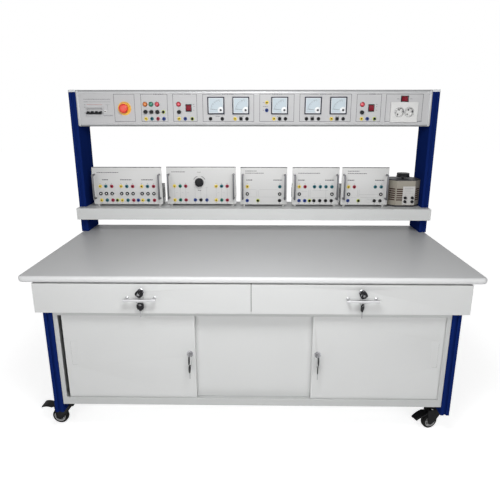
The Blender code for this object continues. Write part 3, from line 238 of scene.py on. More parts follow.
def finish(name, colour, roughness=0.40, metallic=0.0, mottle=0.05, mottle_scale=9.0,
           grain_scale=700.0, spread=0.10, relief=0.0001, stretch=(1.0, 1.0, 1.0), **shader_values):
    """A surface whose colour, gloss and relief vary with the fine grain."""
    surface = bpy.data.materials.new(name)
    surface.use_nodes = True
    nodes, links = surface.node_tree.nodes, surface.node_tree.links
    shader = nodes["Principled BSDF"]
    shader.inputs["Metallic"].default_value = metallic
    for socket, value in shader_values.items():
        shader.inputs[socket.replace("_", " ").title().replace("Ior", "IOR")].default_value = value
    grain = nodes.new("ShaderNodeGroup")
    grain.node_tree = FINE_GRAIN
    for socket, value in {
        "Colour": (*colour, 1.0), "Mottle": mottle, "Mottle Scale": mottle_scale,
        "Grain Scale": grain_scale, "Roughness": roughness, "Spread": spread, "Relief": relief,
        "Stretch": stretch,
    }.items():
        grain.inputs[socket].default_value = value
    for outlet, socket in zip(grain.outputs, ("Base Color", "Roughness", "Normal")):
        links.new(outlet, shader.inputs[socket])
    return surface


def block(shape, low, high, surface=0, place=None):
    """A box between two corners, moved by a matrix where one is given."""
    made = bmesh.ops.create_cube(shape, size=1.0)["verts"]
    low, high = Vector(low), Vector(high)
    bmesh.ops.scale(shape, vec=high - low, verts=made)
    bmesh.ops.translate(shape, vec=(low + high) / 2, verts=made)
    for face in {face for vert in made for face in vert.link_faces}:
        face.material_index = surface
    if place:
        bmesh.ops.transform(shape, matrix=place, verts=made)
    return made


def round_edges(shape, edges, radius, segments=2):
    bmesh.ops.bevel(
        shape, geom=edges, offset=radius, segments=segments, profile=0.5,
        affect="EDGES", material=-1, clamp_overlap=True,
    )


def rise_of(edge):
    """How far an edge climbs."""
    return abs(edge.verts[0].co.z - edge.verts[1].co.z)


def make(name, shape, surfaces, body, replaced=None, round_off=0.0, segments=2, angle=32.0):
    """Turn a shape into a piece that rides on a body and may stand for a solid of the model."""
    mesh = as_mesh(shape, name)
    for surface in surfaces if isinstance(surfaces, list) else [surfaces]:
        mesh.materials.append(surface)
    mesh.shade_smooth()
    mesh.set_sharp_from_angle(angle=math.radians(angle))
    piece = bpy.data.objects.new(name, mesh)
    scene.collection.objects.link(piece)
    if round_off:
        rounding = piece.modifiers.new("rounded_edges", "BEVEL")
        rounding.width = round_off
        rounding.segments = segments
        rounding.limit_method = "ANGLE"
        rounding.angle_limit = math.radians(40.0)
        rounding.harden_normals = True
    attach(piece, body)
    if replaced:
        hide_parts(replaced)
    return piece


laminate = finish(
    "grey_laminate", LAMINATE_GREY, roughness=0.40, mottle=0.035, mottle_scale=160.0,
    grain_scale=1400.0, spread=0.12, relief=0.00006, specular_ior_level=0.12,
)
nose_painted_highlight = finish(
    "nose_painted_highlight", NOSE_HIGHLIGHT_GREY, roughness=0.36, mottle=0.02, mottle_scale=160.0,
    grain_scale=1400.0, spread=0.12, relief=0.00006,
)
shape = bmesh.new()
block(shape, *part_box("worktop"))
upright = [edge for edge in shape.edges if rise_of(edge) > WORKTOP_NOSE]
round_edges(shape, upright, WORKTOP_CORNER, 8)
rims = [edge for edge in shape.edges if rise_of(edge) < CLOSE and edge.calc_face_angle() > 1.0]
round_edges(shape, rims, WORKTOP_NOSE, 6)
# Faces turned to the front take the lighter grey, a painted highlight
for face in shape.faces:
    face.material_index = 1 if face.normal.y < -0.3 else 0
make("worktop_board", shape, [laminate, nose_painted_highlight], "bench", "worktop", angle=20.0)

# Drawer unit and drawers
# Folded sheet-steel housing, powder coated light grey, with a drawer on runners on each side of
# its middle wall. Each drawer has a thick front board with softened edges screwed to its tray.
SHEET_EDGE = 0.0007
BOARD_EDGE = 0.0012
BOARD_THICKNESS = 0.019
PAINT_GREY = (0.62, 0.63, 0.625)
BOARD_GREY = (0.665, 0.672, 0.668)
SIDES = ("left", "right")


def merged(node, flat_faces=True):
    """A solid's mesh as a clean shape, its doubled points and flat triangle seams gone."""
    shape = bmesh.new()
    shape.from_mesh(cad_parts[node].data)
    bmesh.ops.remove_doubles(shape, verts=shape.verts, dist=0.00001)
    if flat_faces:
        bmesh.ops.dissolve_limit(
            shape, angle_limit=math.radians(1.0), verts=shape.verts, edges=shape.edges,
        )
    return shape


def centre_of(face):
    return face.calc_center_median()


def dress(node, surfaces, body, round_off, choose=None, open_top=False):
    """A copy of a solid with rounded edges; choose gives the surface of a face by its middle.

    A narrow rim round an open top is cut into triangles, which stay apart when rounded.
    """
    shape = merged(node)
    if open_top:
        rims = [face for face in shape.faces if face.normal.z > 0.9 and len(face.verts) > 4]
        bmesh.ops.triangulate(shape, faces=rims)
    if choose:
        for face in shape.faces:
            face.material_index = choose(centre_of(face))
    make(node + "_dressed", shape, surfaces, body, node, round_off)


grey_paint = finish(
    "grey_powder_coat", PAINT_GREY, roughness=0.42, relief=0.00012, grain_scale=520.0,
)
board_grey = finish("grey_board", BOARD_GREY, roughness=0.38, mottle=0.03, mottle_scale=5.0)
tray_zinc = finish(
    "tray_zinc", (0.48, 0.49, 0.50), roughness=0.35, metallic=0.7, mottle=0.14, mottle_scale=40.0,
)
dress("drawer_housing", grey_paint, "bench", SHEET_EDGE)
for side in SIDES:
    drawer = "drawer_" + side
    board_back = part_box(drawer)[0].y + BOARD_THICKNESS
    dress(
        drawer, [board_grey, tray_zinc], drawer, BOARD_EDGE,
        lambda middle: 0 if middle.y < board_back else 1, open_top=True,
    )

# Drawer handles
# Square bars of bright anodised aluminium on two posts, 112 mm long. Screws through the front
# board hold the posts from inside the drawer.
HANDLE_POST_RADIUS = 0.0042
HANDLE_POST_FOOT = 0.0058
HANDLE_PITCH = 0.096
HANDLE_SOFTENING = 0.0013
TO_FRONT = Matrix.Rotation(math.pi / 2, 4, "X")


def stamp(shape, pattern, place):
    """Add a copy of a small mesh to a shape, moved by a matrix."""
    copy = pattern.copy()
    copy.transform(place)
    shape.from_mesh(copy)
    bpy.data.meshes.remove(copy)


def turned(profile, steps=24, surfaces=None):
    """A small mesh: a profile of radius and height spun about Z, with a surface for each span."""
    shape = bmesh.new()
    points = [shape.verts.new((radius, 0.0, height)) for radius, height in profile]
    spans = [shape.edges.new(pair) for pair in zip(points, points[1:])]
    bmesh.ops.spin(
        shape, geom=points + spans, cent=(0, 0, 0), axis=(0, 0, 1),
        angle=2 * math.pi, steps=steps, use_merge=True,
    )
    bmesh.ops.remove_doubles(shape, verts=shape.verts, dist=CLOSE)
    bmesh.ops.recalc_face_normals(shape, faces=shape.faces)
    if surfaces:
        middles = [
            ((r0 + r1) / 2, (z0 + z1) / 2) for (r0, z0), (r1, z1) in zip(profile, profile[1:])
        ]
        for face in shape.faces:
            middle = centre_of(face)
            radius = math.hypot(middle.x, middle.y)
            nearest = min(
                range(len(surfaces)),
                key=lambda span: abs(radius - middles[span][0]) + abs(middle.z - middles[span][1]),
            )
            face.material_index = surfaces[nearest]
    return as_mesh(shape, "turned")


def swing(place, degrees, axis="Y"):
    """A turn about a point, seen from the front unless another axis is given."""
    return Matrix.Translation(place) @ Matrix.Rotation(math.radians(degrees), 4, axis)


def facing(x, y, z, degrees=0.0):
    """Place a turned mesh with its foot at a point and its axis towards the front."""
    return swing((x, y, z), degrees) @ TO_FRONT


def middle_of(node):
    """The middle of a solid's box."""
    low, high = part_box(node)
    return (low + high) / 2


bright_aluminium = finish(
    "bright_aluminium", (0.50, 0.50, 0.51), roughness=0.30, metallic=1.0, mottle=0.04,
    grain_scale=300.0, relief=0.00003, stretch=(0.05, 1.0, 1.0),
)
for side in SIDES:
    node = "handle_drawer_" + side
    low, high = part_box(node)
    bar = high.z - low.z
    shape = bmesh.new()
    block(shape, low, (high.x, low.y + bar, high.z))
    round_edges(shape, shape.edges[:], HANDLE_SOFTENING, 3)
    reach = high.y - low.y - bar / 2
    post = turned([
        (0.0, 0.0), (HANDLE_POST_FOOT, 0.0), (HANDLE_POST_FOOT, 0.0015),
        (HANDLE_POST_RADIUS, 0.003), (HANDLE_POST_RADIUS, reach), (0.0, reach),
    ])
    middle = middle_of(node)
    for end in (-1, 1):
        stamp(shape, post, facing(middle.x + end * HANDLE_PITCH / 2, high.y, middle.z))
    make("bar_handle_" + side, shape, bright_aluminium, "drawer_" + side, node)

# Locks and keys
# Cam locks with a chromed rosette, a turning plug and a steel key with a black moulded bow.
# A ring over the key's stem carries the spare key, so the spare stays down while the key turns.
ROSETTE_RADIUS = 0.0125
PLUG_RADIUS = 0.0088
PLUG_PROUD = 0.0030
STEM_LENGTH = 0.0125
STEM_HALF_WIDTH = 0.0024
STEM_HALF_THICKNESS = 0.0011
BOW_HALF_THICKNESS = 0.0016
BOW_HALF_WIDTH = 0.0128
BOW_HOLE = 0.0040
BOW_LENGTH = 0.0290
BOW_FOOT_LEVEL = -BOW_LENGTH + 2.0 * BOW_HOLE
SPARE_BLADE = 0.0230
RING_WIRE = 0.0009
RING_OVAL = 0.58
RING_PLACE = 0.85
KEY_EDGE = 0.0004
BOW_OUTLINE = (
    (-0.30, 0.00), (0.30, 0.00), (0.36, -0.14), (0.80, -0.20), (1.00, -0.42), (1.00, -0.74),
    (0.82, -0.93), (0.45, -1.00), (-0.45, -1.00), (-0.82, -0.93), (-1.00, -0.74), (-1.00, -0.42),
    (-0.80, -0.20), (-0.36, -0.14),
)
# Turn of the key, whether its bow hangs edge-on, ring radius and turn, spare's half width and turn
KEYS = {
    "drawer_left": (38.0, False, 0.0235, 40.0, 0.0125, 0.0),
    "drawer_right": (-30.0, False, 0.0235, 30.0, 0.0095, 45.0),
    "sliding_door_left": (0.0, True, 0.0240, -58.0, 0.0110, 84.0),
    "sliding_door_right": (0.0, True, 0.0240, 58.0, 0.0110, 78.0),
}

chrome = finish(
    "chrome", (0.50, 0.50, 0.52), roughness=0.18, metallic=1.0, spread=0.06, relief=0.00002,
)
key_steel = finish("key_steel", (0.34, 0.34, 0.35), roughness=0.32, metallic=1.0, mottle=0.08)
black_plastic = finish(
    "black_plastic", (0.012, 0.012, 0.014), roughness=0.38, mottle=0.2, mottle_scale=60.0,
    specular_ior_level=0.14,
)


def grown_from(shape, geometry, step=(0, 0, 0)):
    """Extrude faces, move the new ones by a step and return their points and faces."""
    grown = bmesh.ops.extrude_face_region(shape, geom=geometry)["geom"]
    points = [item for item in grown if isinstance(item, bmesh.types.BMVert)]
    bmesh.ops.translate(shape, vec=step, verts=points)
    return points, [item for item in grown if isinstance(item, bmesh.types.BMFace)]


def key_bow(shape, half_width, place):
    """Flat moulded bow that hangs below its shoulder, with the ring's hole near its end."""
    outer = [
        shape.verts.new((x * half_width, -BOW_HALF_THICKNESS, z * BOW_LENGTH))
        for x, z in BOW_OUTLINE
    ]
    edges = [shape.edges.new(pair) for pair in zip(outer, outer[1:] + outer[:1])]
    hole = bmesh.ops.create_circle(
        shape, radius=BOW_HOLE, segments=len(outer),
        matrix=Matrix.Translation((0, -BOW_HALF_THICKNESS, BOW_FOOT_LEVEL)) @ TO_FRONT,
    )["verts"]
    edges += list({edge for vert in hole for edge in vert.link_edges})
    ring = bmesh.ops.bridge_loops(shape, edges=edges)["faces"]
    moved, _ = grown_from(shape, ring, (0, 2 * BOW_HALF_THICKNESS, 0))
    made = outer + hole + moved
    faces = list({face for vert in made for face in vert.link_faces})
    bmesh.ops.recalc_face_normals(shape, faces=faces)
    for face in faces:
        face.material_index = 1
    bmesh.ops.transform(shape, matrix=place, verts=made)


rosette = turned([
    (PLUG_RADIUS + 0.0004, -0.0005), (PLUG_RADIUS + 0.0004, 0.0012), (PLUG_RADIUS + 0.0010, 0.0020),
    (ROSETTE_RADIUS - 0.0012, 0.0020), (ROSETTE_RADIUS, 0.0010), (ROSETTE_RADIUS, -0.0002),
    (PLUG_RADIUS + 0.0004, -0.0005),
], steps=32)
plug = turned([
    (0.0, -0.006), (PLUG_RADIUS, -0.006), (PLUG_RADIUS, PLUG_PROUD - 0.0006),
    (PLUG_RADIUS - 0.0006, PLUG_PROUD), (0.0, PLUG_PROUD),
], steps=28)
key_surfaces = [key_steel, black_plastic]
for name, (turn, hangs, ring_radius, ring_turn, spare_half, spare_turn) in KEYS.items():
    lock = middle_of("key_" + name)
    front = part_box(name)[0].y
    owner = name.replace("sliding_", "")
    kind, side = owner.split("_")
    shape = bmesh.new()
    stamp(shape, rosette, facing(lock.x, front, lock.z))
    make("lock_rosette_" + name, shape, chrome, owner)

    shape = bmesh.new()
    stamp(shape, plug, facing(lock.x, front, lock.z))
    neck = front - PLUG_PROUD - STEM_LENGTH
    key_place = swing((lock.x, 0, lock.z), turn)
    block(
        shape, (-STEM_HALF_THICKNESS, neck - BOW_HALF_THICKNESS, -STEM_HALF_WIDTH),
        (STEM_HALF_THICKNESS, front - PLUG_PROUD + RING_WIRE, STEM_HALF_WIDTH), place=key_place,
    )
    if hangs:
        bow_half, bow_place = spare_half, swing((0, neck - spare_half, STEM_HALF_WIDTH), 90.0, "Z")
    else:
        bow_half, bow_place = BOW_HALF_WIDTH, Matrix.Translation((0, neck, BOW_LENGTH / 2))
    key_bow(shape, bow_half, key_place @ bow_place)
    make(
        "turning_key_" + name, shape, key_surfaces, f"{kind}_key_{side}",
        "key_" + name, KEY_EDGE, 1,
    )

    shape = bmesh.new()
    wire_place = Matrix.Translation((ring_radius, 0, 0)) @ TO_FRONT
    bmesh.ops.create_circle(shape, radius=RING_WIRE, segments=8, matrix=wire_place)
    bmesh.ops.spin(
        shape, geom=shape.verts[:] + shape.edges[:], cent=(0, 0, 0), axis=(0, 0, 1),
        angle=2 * math.pi, steps=40, use_merge=True,
    )
    bmesh.ops.recalc_face_normals(shape, faces=shape.faces)
    bmesh.ops.scale(shape, vec=(RING_OVAL, 1.0, 1.0), verts=shape.verts)
    centre = Vector((
        lock.x, front - PLUG_PROUD - STEM_LENGTH * RING_PLACE,
        lock.z + STEM_HALF_WIDTH + 2 * RING_WIRE - ring_radius,
    ))
    bmesh.ops.transform(
        shape, matrix=swing(centre, ring_turn, "Z") @ TO_FRONT, verts=shape.verts,
    )
    forward = (spare_half - BOW_HOLE) * math.sin(math.radians(spare_turn)) if hangs else 0.0
    hang = swing(centre - Vector((0, forward, ring_radius)), spare_turn, "Z")
    key_bow(shape, spare_half, hang @ swing((0, 0, BOW_FOOT_LEVEL), 180.0))
    block(
        shape, (-STEM_HALF_WIDTH, -STEM_HALF_THICKNESS, BOW_FOOT_LEVEL - SPARE_BLADE),
        (STEM_HALF_WIDTH * 0.6, STEM_HALF_THICKNESS, BOW_FOOT_LEVEL + 2 * STEM_HALF_THICKNESS),
        place=hang,
    )
    make(
        "spare_key_" + name, shape, key_surfaces, owner,
        round_off=KEY_EDGE, segments=1,
    )

# Gap shade strip
# A thin black strip on the front of the housing's middle wall fills the gap between the two drawer
# fronts. It is painted shade for the dark gap there.
GAP_SHADE_PROUD = 0.0008

shape = bmesh.new()
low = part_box("drawer_housing")[0]
right_low, right_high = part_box("drawer_right")
block(
    shape, (-right_low.x, low.y - GAP_SHADE_PROUD, low.z + 0.001),
    (right_low.x, low.y + 0.0002, right_high.z),
)
# Black strip in the drawer gap: painted shade
make("drawer_gap_shade", shape, black_plastic, "bench")

# Legs
# Extruded aluminium profile, powder coated blue, with a groove down its front and back. A black
# steel plate closes each foot and takes the castor.
PROFILE_EDGE = 0.0016
FOOT_PLATE_TOP = 0.0960
FOOT_PLATE_BOTTOM = 0.0910
BLUE = (0.0060, 0.0190, 0.125)

blue_coat = finish(
    "blue_powder_coat", BLUE, roughness=0.50, relief=0.00012, grain_scale=600.0,
    specular_ior_level=0.0,
)
black_steel = finish(
    "black_steel", (0.007, 0.007, 0.008), roughness=0.42, mottle=0.25, mottle_scale=30.0,
    specular_ior_level=0.08,
)
for end in ("front", "rear"):
    for side in SIDES:
        dress(
            f"leg_{end}_{side}", [blue_coat, black_steel], "bench", PROFILE_EDGE,
            lambda middle: FOOT_PLATE_BOTTOM < middle.z < FOOT_PLATE_TOP,
        )

# Castors
# Swivel castors of 62 mm with a pressed black fork, a black tyre on a light spoked centre and,
# in front, a brake pedal. They bolt to the foot plates.
TYRE_INNER = 0.0220
TYRE_HALF = 0.0110
RIM_INNER = 0.0196
HUB_RADIUS = 0.0085
AXLE_RADIUS = 0.0047
SPOKES = 5
SPOKE_HALF_WIDTH = 0.0022
FORK_EDGE = 0.0012
BOLT_RADIUS = 0.0035
BOLT_OFFSETS = (0.0285, 0.0240)
BOLT_LEVEL = 0.0924
PEDAL_EDGE = 0.0014
PEDAL_CUTS = (0.45, 0.55, 0.65, 0.75, 0.85, 0.95)
PEDAL_SLOPE = 0.004
PEDAL_CURL = 0.011
CASTOR_ANGLES = {"front_left": 176.0, "front_right": 196.0, "rear_left": 75.0, "rear_right": 118.0}


def split(shape, point, normal):
    """Cut every face of a shape along a plane and keep both sides."""
    everything = shape.verts[:] + shape.edges[:] + shape.faces[:]
    bmesh.ops.bisect_plane(shape, geom=everything, plane_co=point, plane_no=normal, dist=1e-7)


rubber = finish(
    "black_rubber", (0.008, 0.008, 0.008), roughness=0.62, mottle=0.3, mottle_scale=45.0,
    specular_ior_level=0.08,
)
light_nylon = finish(
    "light_nylon", (0.44, 0.44, 0.44), roughness=0.40, mottle=0.08, mottle_scale=50.0,
)
zinc = finish(
    "zinc_plate", (0.62, 0.62, 0.60), roughness=0.30, metallic=1.0, mottle=0.12, mottle_scale=80.0,
)
rim_half, spoke_half = TYRE_HALF - 0.0012, TYRE_HALF - 0.004
rim = turned([
    (RIM_INNER, 0.0013 - rim_half), (TYRE_INNER + 0.0006, -rim_half),
    (TYRE_INNER + 0.0006, rim_half), (RIM_INNER, rim_half - 0.0013),
    (RIM_INNER, 0.0013 - rim_half),
], steps=40)
hub = turned([
    (AXLE_RADIUS, -TYRE_HALF), (HUB_RADIUS, -TYRE_HALF), (HUB_RADIUS, TYRE_HALF),
    (AXLE_RADIUS, TYRE_HALF), (AXLE_RADIUS, -TYRE_HALF),
])
bolt = turned([
    (0.0, 0.0), (BOLT_RADIUS * 1.5, 0.0), (BOLT_RADIUS * 1.5, 0.0010), (BOLT_RADIUS, 0.0010),
    (BOLT_RADIUS, 0.0040), (BOLT_RADIUS - 0.0006, 0.0046), (0.0, 0.0046),
], steps=6)
for name, angle in CASTOR_ANGLES.items():
    dress("castor_fork_" + name, black_steel, "castor_" + name, FORK_EDGE)
    low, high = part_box("castor_wheel_" + name)
    radius = (high.z - low.z) / 2
    side_of_tyre = [
        (TYRE_INNER, TYRE_HALF - 0.001), (radius - 0.0040, TYRE_HALF - 0.001),
        (radius - 0.0012, TYRE_HALF - 0.0030), (radius, TYRE_HALF - 0.0065),
    ]
    tyre = turned(
        [(out, -height) for out, height in side_of_tyre] + side_of_tyre[::-1]
        + [(TYRE_INNER, 0.001 - TYRE_HALF)],
        steps=48,
    )
    across = swing((low + high) / 2, angle, "Z") @ TO_FRONT
    shape = bmesh.new()
    stamp(shape, tyre, across)
    light = len(shape.faces)
    stamp(shape, rim, across)
    stamp(shape, hub, across)
    for step in range(SPOKES):
        block(
            shape, (HUB_RADIUS - 0.001, -SPOKE_HALF_WIDTH, -spoke_half),
            (RIM_INNER + 0.001, SPOKE_HALF_WIDTH, spoke_half),
            place=across @ swing((0, 0, 0), 360 * step / SPOKES, "Z"),
        )
    shape.faces.ensure_lookup_table()
    for face in shape.faces[light:]:
        face.material_index = 1
    make(
        "spoked_wheel_" + name, shape, [rubber, light_nylon], "wheel_" + name,
        "castor_wheel_" + name,
    )

    shape = bmesh.new()
    foot = middle_of("leg_" + name)
    for step_x in (-1, 1):
        for step_y in (-1, 1):
            x, y = foot.x + step_x * BOLT_OFFSETS[0], foot.y + step_y * BOLT_OFFSETS[1]
            stamp(shape, bolt, swing((x, y, BOLT_LEVEL), 180, "X"))
    make("castor_bolts_" + name, shape, zinc, "bench")
for side in SIDES:
    node = "brake_pedal_front_" + side
    low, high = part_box(node)
    shape = merged(node)
    for share in PEDAL_CUTS:
        split(shape, (high.x + (low.x - high.x) * share, 0, 0), (1, 0, 0))
    for vert in shape.verts:
        share = (high.x - vert.co.x) / (high.x - low.x)
        vert.co.z -= PEDAL_SLOPE * share + PEDAL_CURL * max(0.0, (share - 0.5) / 0.5) ** 2
    make(
        "brake_tongue_front_" + side, shape, black_steel, "brake_front_" + side,
        node, PEDAL_EDGE, 3,
    )

# Cabinet and sliding doors
# A light grey board carcass between the legs. Two board doors hang in aluminium tracks in front of
# a fixed middle panel; each has a recessed grip with a moulded frame near its outer edge.
CARCASS_EDGE = 0.0009
DOOR_EDGE = 0.0010
GRIP_MARGIN = 0.0215
GRIP_WIDTH = 0.026
GRIP_LEVELS = (0.2855, 0.3905)
GRIP_RIM = 0.0018
GRIP_FLANGE = 0.0090
GRIP_DEPTH = 0.0080
GRIP_OUTWARD = 0.0030
GRIP_PROUD = 0.0009
TRACK_LEVELS = (0.1496, 0.4966)
TRACK_HEIGHT = 0.002
TRACK_INSET = 0.017
TRACK_DEPTHS = (0.0045, 0.0060)
GRIP_INSIDE = 0.010
CARCASS_GREY = (0.54, 0.55, 0.545)

carcass_grey = finish("grey_carcass", CARCASS_GREY, roughness=0.42, mottle=0.04, mottle_scale=7.0)
grip_shadow = finish(
    "grip_shadow", (0.22, 0.222, 0.22), roughness=0.45, mottle=0.05, mottle_scale=40.0,
)
track_aluminium = finish(
    "track_aluminium", (0.70, 0.70, 0.69), roughness=0.34, metallic=0.9, mottle=0.06,
    stretch=(0.04, 1.0, 1.0), grain_scale=500.0,
)
dress("cabinet_shell", carcass_grey, "bench", CARCASS_EDGE)
dress("cabinet_middle_panel", board_grey, "bench", DOOR_EDGE)
for side in SIDES:
    node, body = "sliding_door_" + side, "door_" + side
    dress(node, board_grey, body, DOOR_EDGE)
    low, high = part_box(node)
    at_left = side == "left"
    grip_x = low.x + GRIP_MARGIN if at_left else high.x - GRIP_MARGIN - GRIP_WIDTH
    shape = bmesh.new()
    block(
        shape, (grip_x - GRIP_RIM, low.y - GRIP_PROUD, GRIP_LEVELS[0] - GRIP_RIM),
        (grip_x + GRIP_WIDTH + GRIP_RIM, low.y - 0.0001, GRIP_LEVELS[1] + GRIP_RIM),
    )
    pocket = [face for face in shape.faces if face.normal.y < -0.5]
    bmesh.ops.inset_region(shape, faces=pocket, thickness=GRIP_FLANGE)
    moved, _ = grown_from(shape, pocket)
    bmesh.ops.delete(shape, geom=pocket, context="FACES_ONLY")
    for face in {face for vert in moved for face in vert.link_faces}:
        face.material_index = 0 if face.normal.y < -0.5 else 1
    bmesh.ops.translate(shape, vec=(0, GRIP_DEPTH, 0), verts=moved)
    for face in shape.faces:
        if abs(face.normal.x) > 0.5 and centre_of(face).y > low.y + 0.002:
            face.material_index = 1
    inner = [
        vert for vert in shape.verts
        if abs(vert.co.x - grip_x - GRIP_WIDTH / 2) < GRIP_INSIDE
    ]
    shift = -GRIP_OUTWARD if at_left else GRIP_OUTWARD
    bmesh.ops.translate(shape, vec=(shift, 0, 0), verts=inner)
    make("grip_" + side, shape, [board_grey, grip_shadow], body, round_off=0.0003)
low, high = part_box("cabinet_shell")
shape = bmesh.new()
for level in TRACK_LEVELS:
    block(
        shape, (low.x + TRACK_INSET, low.y + TRACK_DEPTHS[0], level),
        (high.x - TRACK_INSET, low.y + TRACK_DEPTHS[1], level + TRACK_HEIGHT),
    )
make("door_track_strips", shape, track_aluminium, "bench")

# Posts and shelf
# The posts are the same blue profile as the legs, closed by pale plastic caps. The shelf is a
# tray of bent sheet steel, powder coated light grey, that laps over the posts' fronts.
CAP_BOTTOM = 1.2625
CAP_OVERHANG = 0.0003
CAP_SOFTENING = 0.0012
SHELF_EDGE = 0.0012

cap_plastic = finish("cap_plastic", (0.62, 0.64, 0.65), roughness=0.40)
for side in SIDES:
    post = "post_" + side
    dress(post, blue_coat, "bench", PROFILE_EDGE)
    low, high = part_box(post)
    shape = bmesh.new()
    block(
        shape, (low.x - CAP_OVERHANG, low.y - CAP_OVERHANG, CAP_BOTTOM),
        (high.x + CAP_OVERHANG, high.y + CAP_OVERHANG, high.z + CAP_OVERHANG),
    )
    make("post_cap_" + side, shape, cap_plastic, "bench", round_off=CAP_SOFTENING)
dress("shelf", grey_paint, "bench", SHELF_EDGE)

# Console housing
# Extruded aluminium channel in satin silver with rounded front corners and a fine groove along
# each one. A moulded cap closes each end. The front plate sits between the two rails.
CONSOLE_ROUND = 0.0115
CONSOLE_CAP = 0.012
CAP_CORNERS = (0.0090, 0.0060)
CAP_EDGE = 0.0040
CAP_PROUD = 0.0008
RAIL_HEIGHT = 0.013
CHANNEL_WALL = 0.0014
CHANNEL_DEPTH = 0.0150
GROOVE_WIDTH = 0.0018
GROOVE_DEPTH = 0.0016
GROOVE_HEIGHTS = (0.0062, 0.1512)
SILVER = (0.40, 0.405, 0.41)


def sink(shape, faces, step):
    """Push faces by a step, with walls behind them."""
    grown_from(shape, faces + list({edge for face in faces for edge in face.edges}), step)


def length_across(edge):
    """How far an edge runs from left to right."""
    return abs(edge.verts[0].co.x - edge.verts[1].co.x)


satin_silver = finish(
    "satin_silver", SILVER, roughness=0.34, metallic=0.35, mottle=0.03, grain_scale=350.0,
    relief=0.00003, stretch=(0.04, 1.0, 1.0),
)
low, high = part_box("console_housing")
end = high.x - CONSOLE_CAP
shape = bmesh.new()
block(shape, (-end, low.y, low.z), (end, high.y, high.z))
rails = [
    edge for edge in shape.edges
    if max(vert.co.y for vert in edge.verts) < low.y + CLOSE and length_across(edge) > 1.0
]
round_edges(shape, rails, CONSOLE_ROUND, 8)
groove_levels = [low.z + height for height in GROOVE_HEIGHTS]
rail_levels = (low.z + RAIL_HEIGHT, high.z - RAIL_HEIGHT)
for level in groove_levels:
    for half in (-GROOVE_WIDTH / 2, GROOVE_WIDTH / 2):
        split(shape, (0, 0, level + half), (0, 0, 1))
for level in rail_levels:
    split(shape, (0, 0, level), (0, 0, 1))
for side in (-1, 1):
    split(shape, (side * (end - CHANNEL_WALL), 0, 0), (1, 0, 0))
for level in groove_levels:
    sink(shape, [
        face for face in shape.faces
        if abs(centre_of(face).z - level) < GROOVE_WIDTH / 2
        and centre_of(face).y < low.y + CONSOLE_ROUND and abs(face.normal.x) < 0.5
    ], (0, GROOVE_DEPTH, 0))
sink(shape, [
    face for face in shape.faces
    if centre_of(face).y < low.y + CLOSE
    and abs(centre_of(face).x) < end - CHANNEL_WALL
    and rail_levels[0] < centre_of(face).z < rail_levels[1]
], (0, CHANNEL_DEPTH, 0))
for side in (-1, 1):
    cap = bmesh.new()
    outer, inner = side * high.x, side * end
    block(cap, (min(outer, inner), low.y - CAP_PROUD, low.z), (max(outer, inner), high.y, high.z))
    for corner, level in zip(CAP_CORNERS, (low.z, high.z)):
        round_edges(cap, [
            edge for edge in cap.edges if all(
                abs(vert.co.x - outer) < CLOSE and abs(vert.co.z - level) < CLOSE
                for vert in edge.verts
            )
        ], corner, 6)
    round_edges(cap, [
        edge for edge in cap.edges
        if all(vert.co.y < low.y for vert in edge.verts) and (
            length_across(edge) > 0.002
            or all(abs(vert.co.x - inner) > CLOSE for vert in edge.verts)
        )
    ], CAP_EDGE, 4)
    shape.from_mesh(as_mesh(cap, "console_cap"))
make(
    "console_channel", shape, satin_silver, "bench", "console_housing",
    angle=30.0,
)

# Console face
# Painted steel plate behind the rails. Fine dark lines frame each group of fittings, and short
# rows of dashes stand where the real plate is lettered. All sizes in its tables are millimetres.
PLATE_RECESS = 0.0015
PRINT_PROUD = 0.00012
LINE_WIDTH = 1.5
DASH_LENGTHS = (4.2, 2.6, 5.4, 3.4, 6.0, 2.2)
DASH_GAP = 1.3
FRAME_BOTTOM, FRAME_TOP = 1140.0, 1253.5
PANEL_GREY = (0.465, 0.465, 0.472)
ROCKERS = ("rocker_single_phase", "rocker_supply", "rocker_outlets")
STOP = "emergency_stop_button"
# Left and right line of each group, and where its heading starts and ends
GROUP_FRAMES = (
    (-603.6, -514.4, None), (-485.9, -371.6, (-432, -386)), (-347.2, -244, (-296, -267)),
    (-218, 2.8, (-135, -84)), (28.5, 176.4, (80, 126)), (201.4, 422, (287, 338)),
    (446.5, 550.5, (496, 528)), (571.5, 728.5, None),
)
# Rows of dashes round the breaker, the meters, the rockers and the outlets: left, right, level
FACE_DASHES = (
    (-735, -618, 1233), (-735, -716, 1222), (-735, -728, 1210),
    (-735, -729, 1200), (-735, -729, 1176), (-730, -612, 1163.5),
    (-163, -143, 1161.5), (-60, -41, 1161.5), (105, 121, 1161.5),
    (250, 264, 1161.5), (358, 374, 1161.5), (42, 48, 1219), (42, 64, 1203),
    (42, 48, 1187), (-260, -254, 1211), (-258, -254, 1203),
    (-260, -254, 1187), (530, 536, 1211), (530, 535, 1202),
    (530, 536, 1187), (618, 626, 1234), (674, 684, 1234), (718, 731, 1141.8),
)
# Plain printed lines of the breaker's diagram: the two ends of each
FACE_LINES = (
    (-714, 1222, -618, 1222), (-640, 1210, -624, 1210),
    (-632, 1210, -632, 1186), (-660, 1166.5, -612, 1166.5),
)
FACE_RED_LINE = (-722, 1211, -655, 1211)

panel_grey = finish("panel_grey", PANEL_GREY, roughness=0.36, mottle=0.03, grain_scale=900.0)
ink = finish("printed_ink", (0.045, 0.045, 0.055), roughness=0.5)
red_ink = finish("printed_red", (0.42, 0.11, 0.10), roughness=0.5)
signal_yellow = finish("signal_yellow", (0.86, 0.46, 0.035), roughness=0.36, mottle=0.05)


def printed(shape, plate_y, left, right, bottom, top, surface):
    """A printed patch on a plate, its sides given in millimetres."""
    block(
        shape, (left / 1000, plate_y - PRINT_PROUD, bottom / 1000),
        (right / 1000, plate_y + PRINT_PROUD, top / 1000), surface,
    )


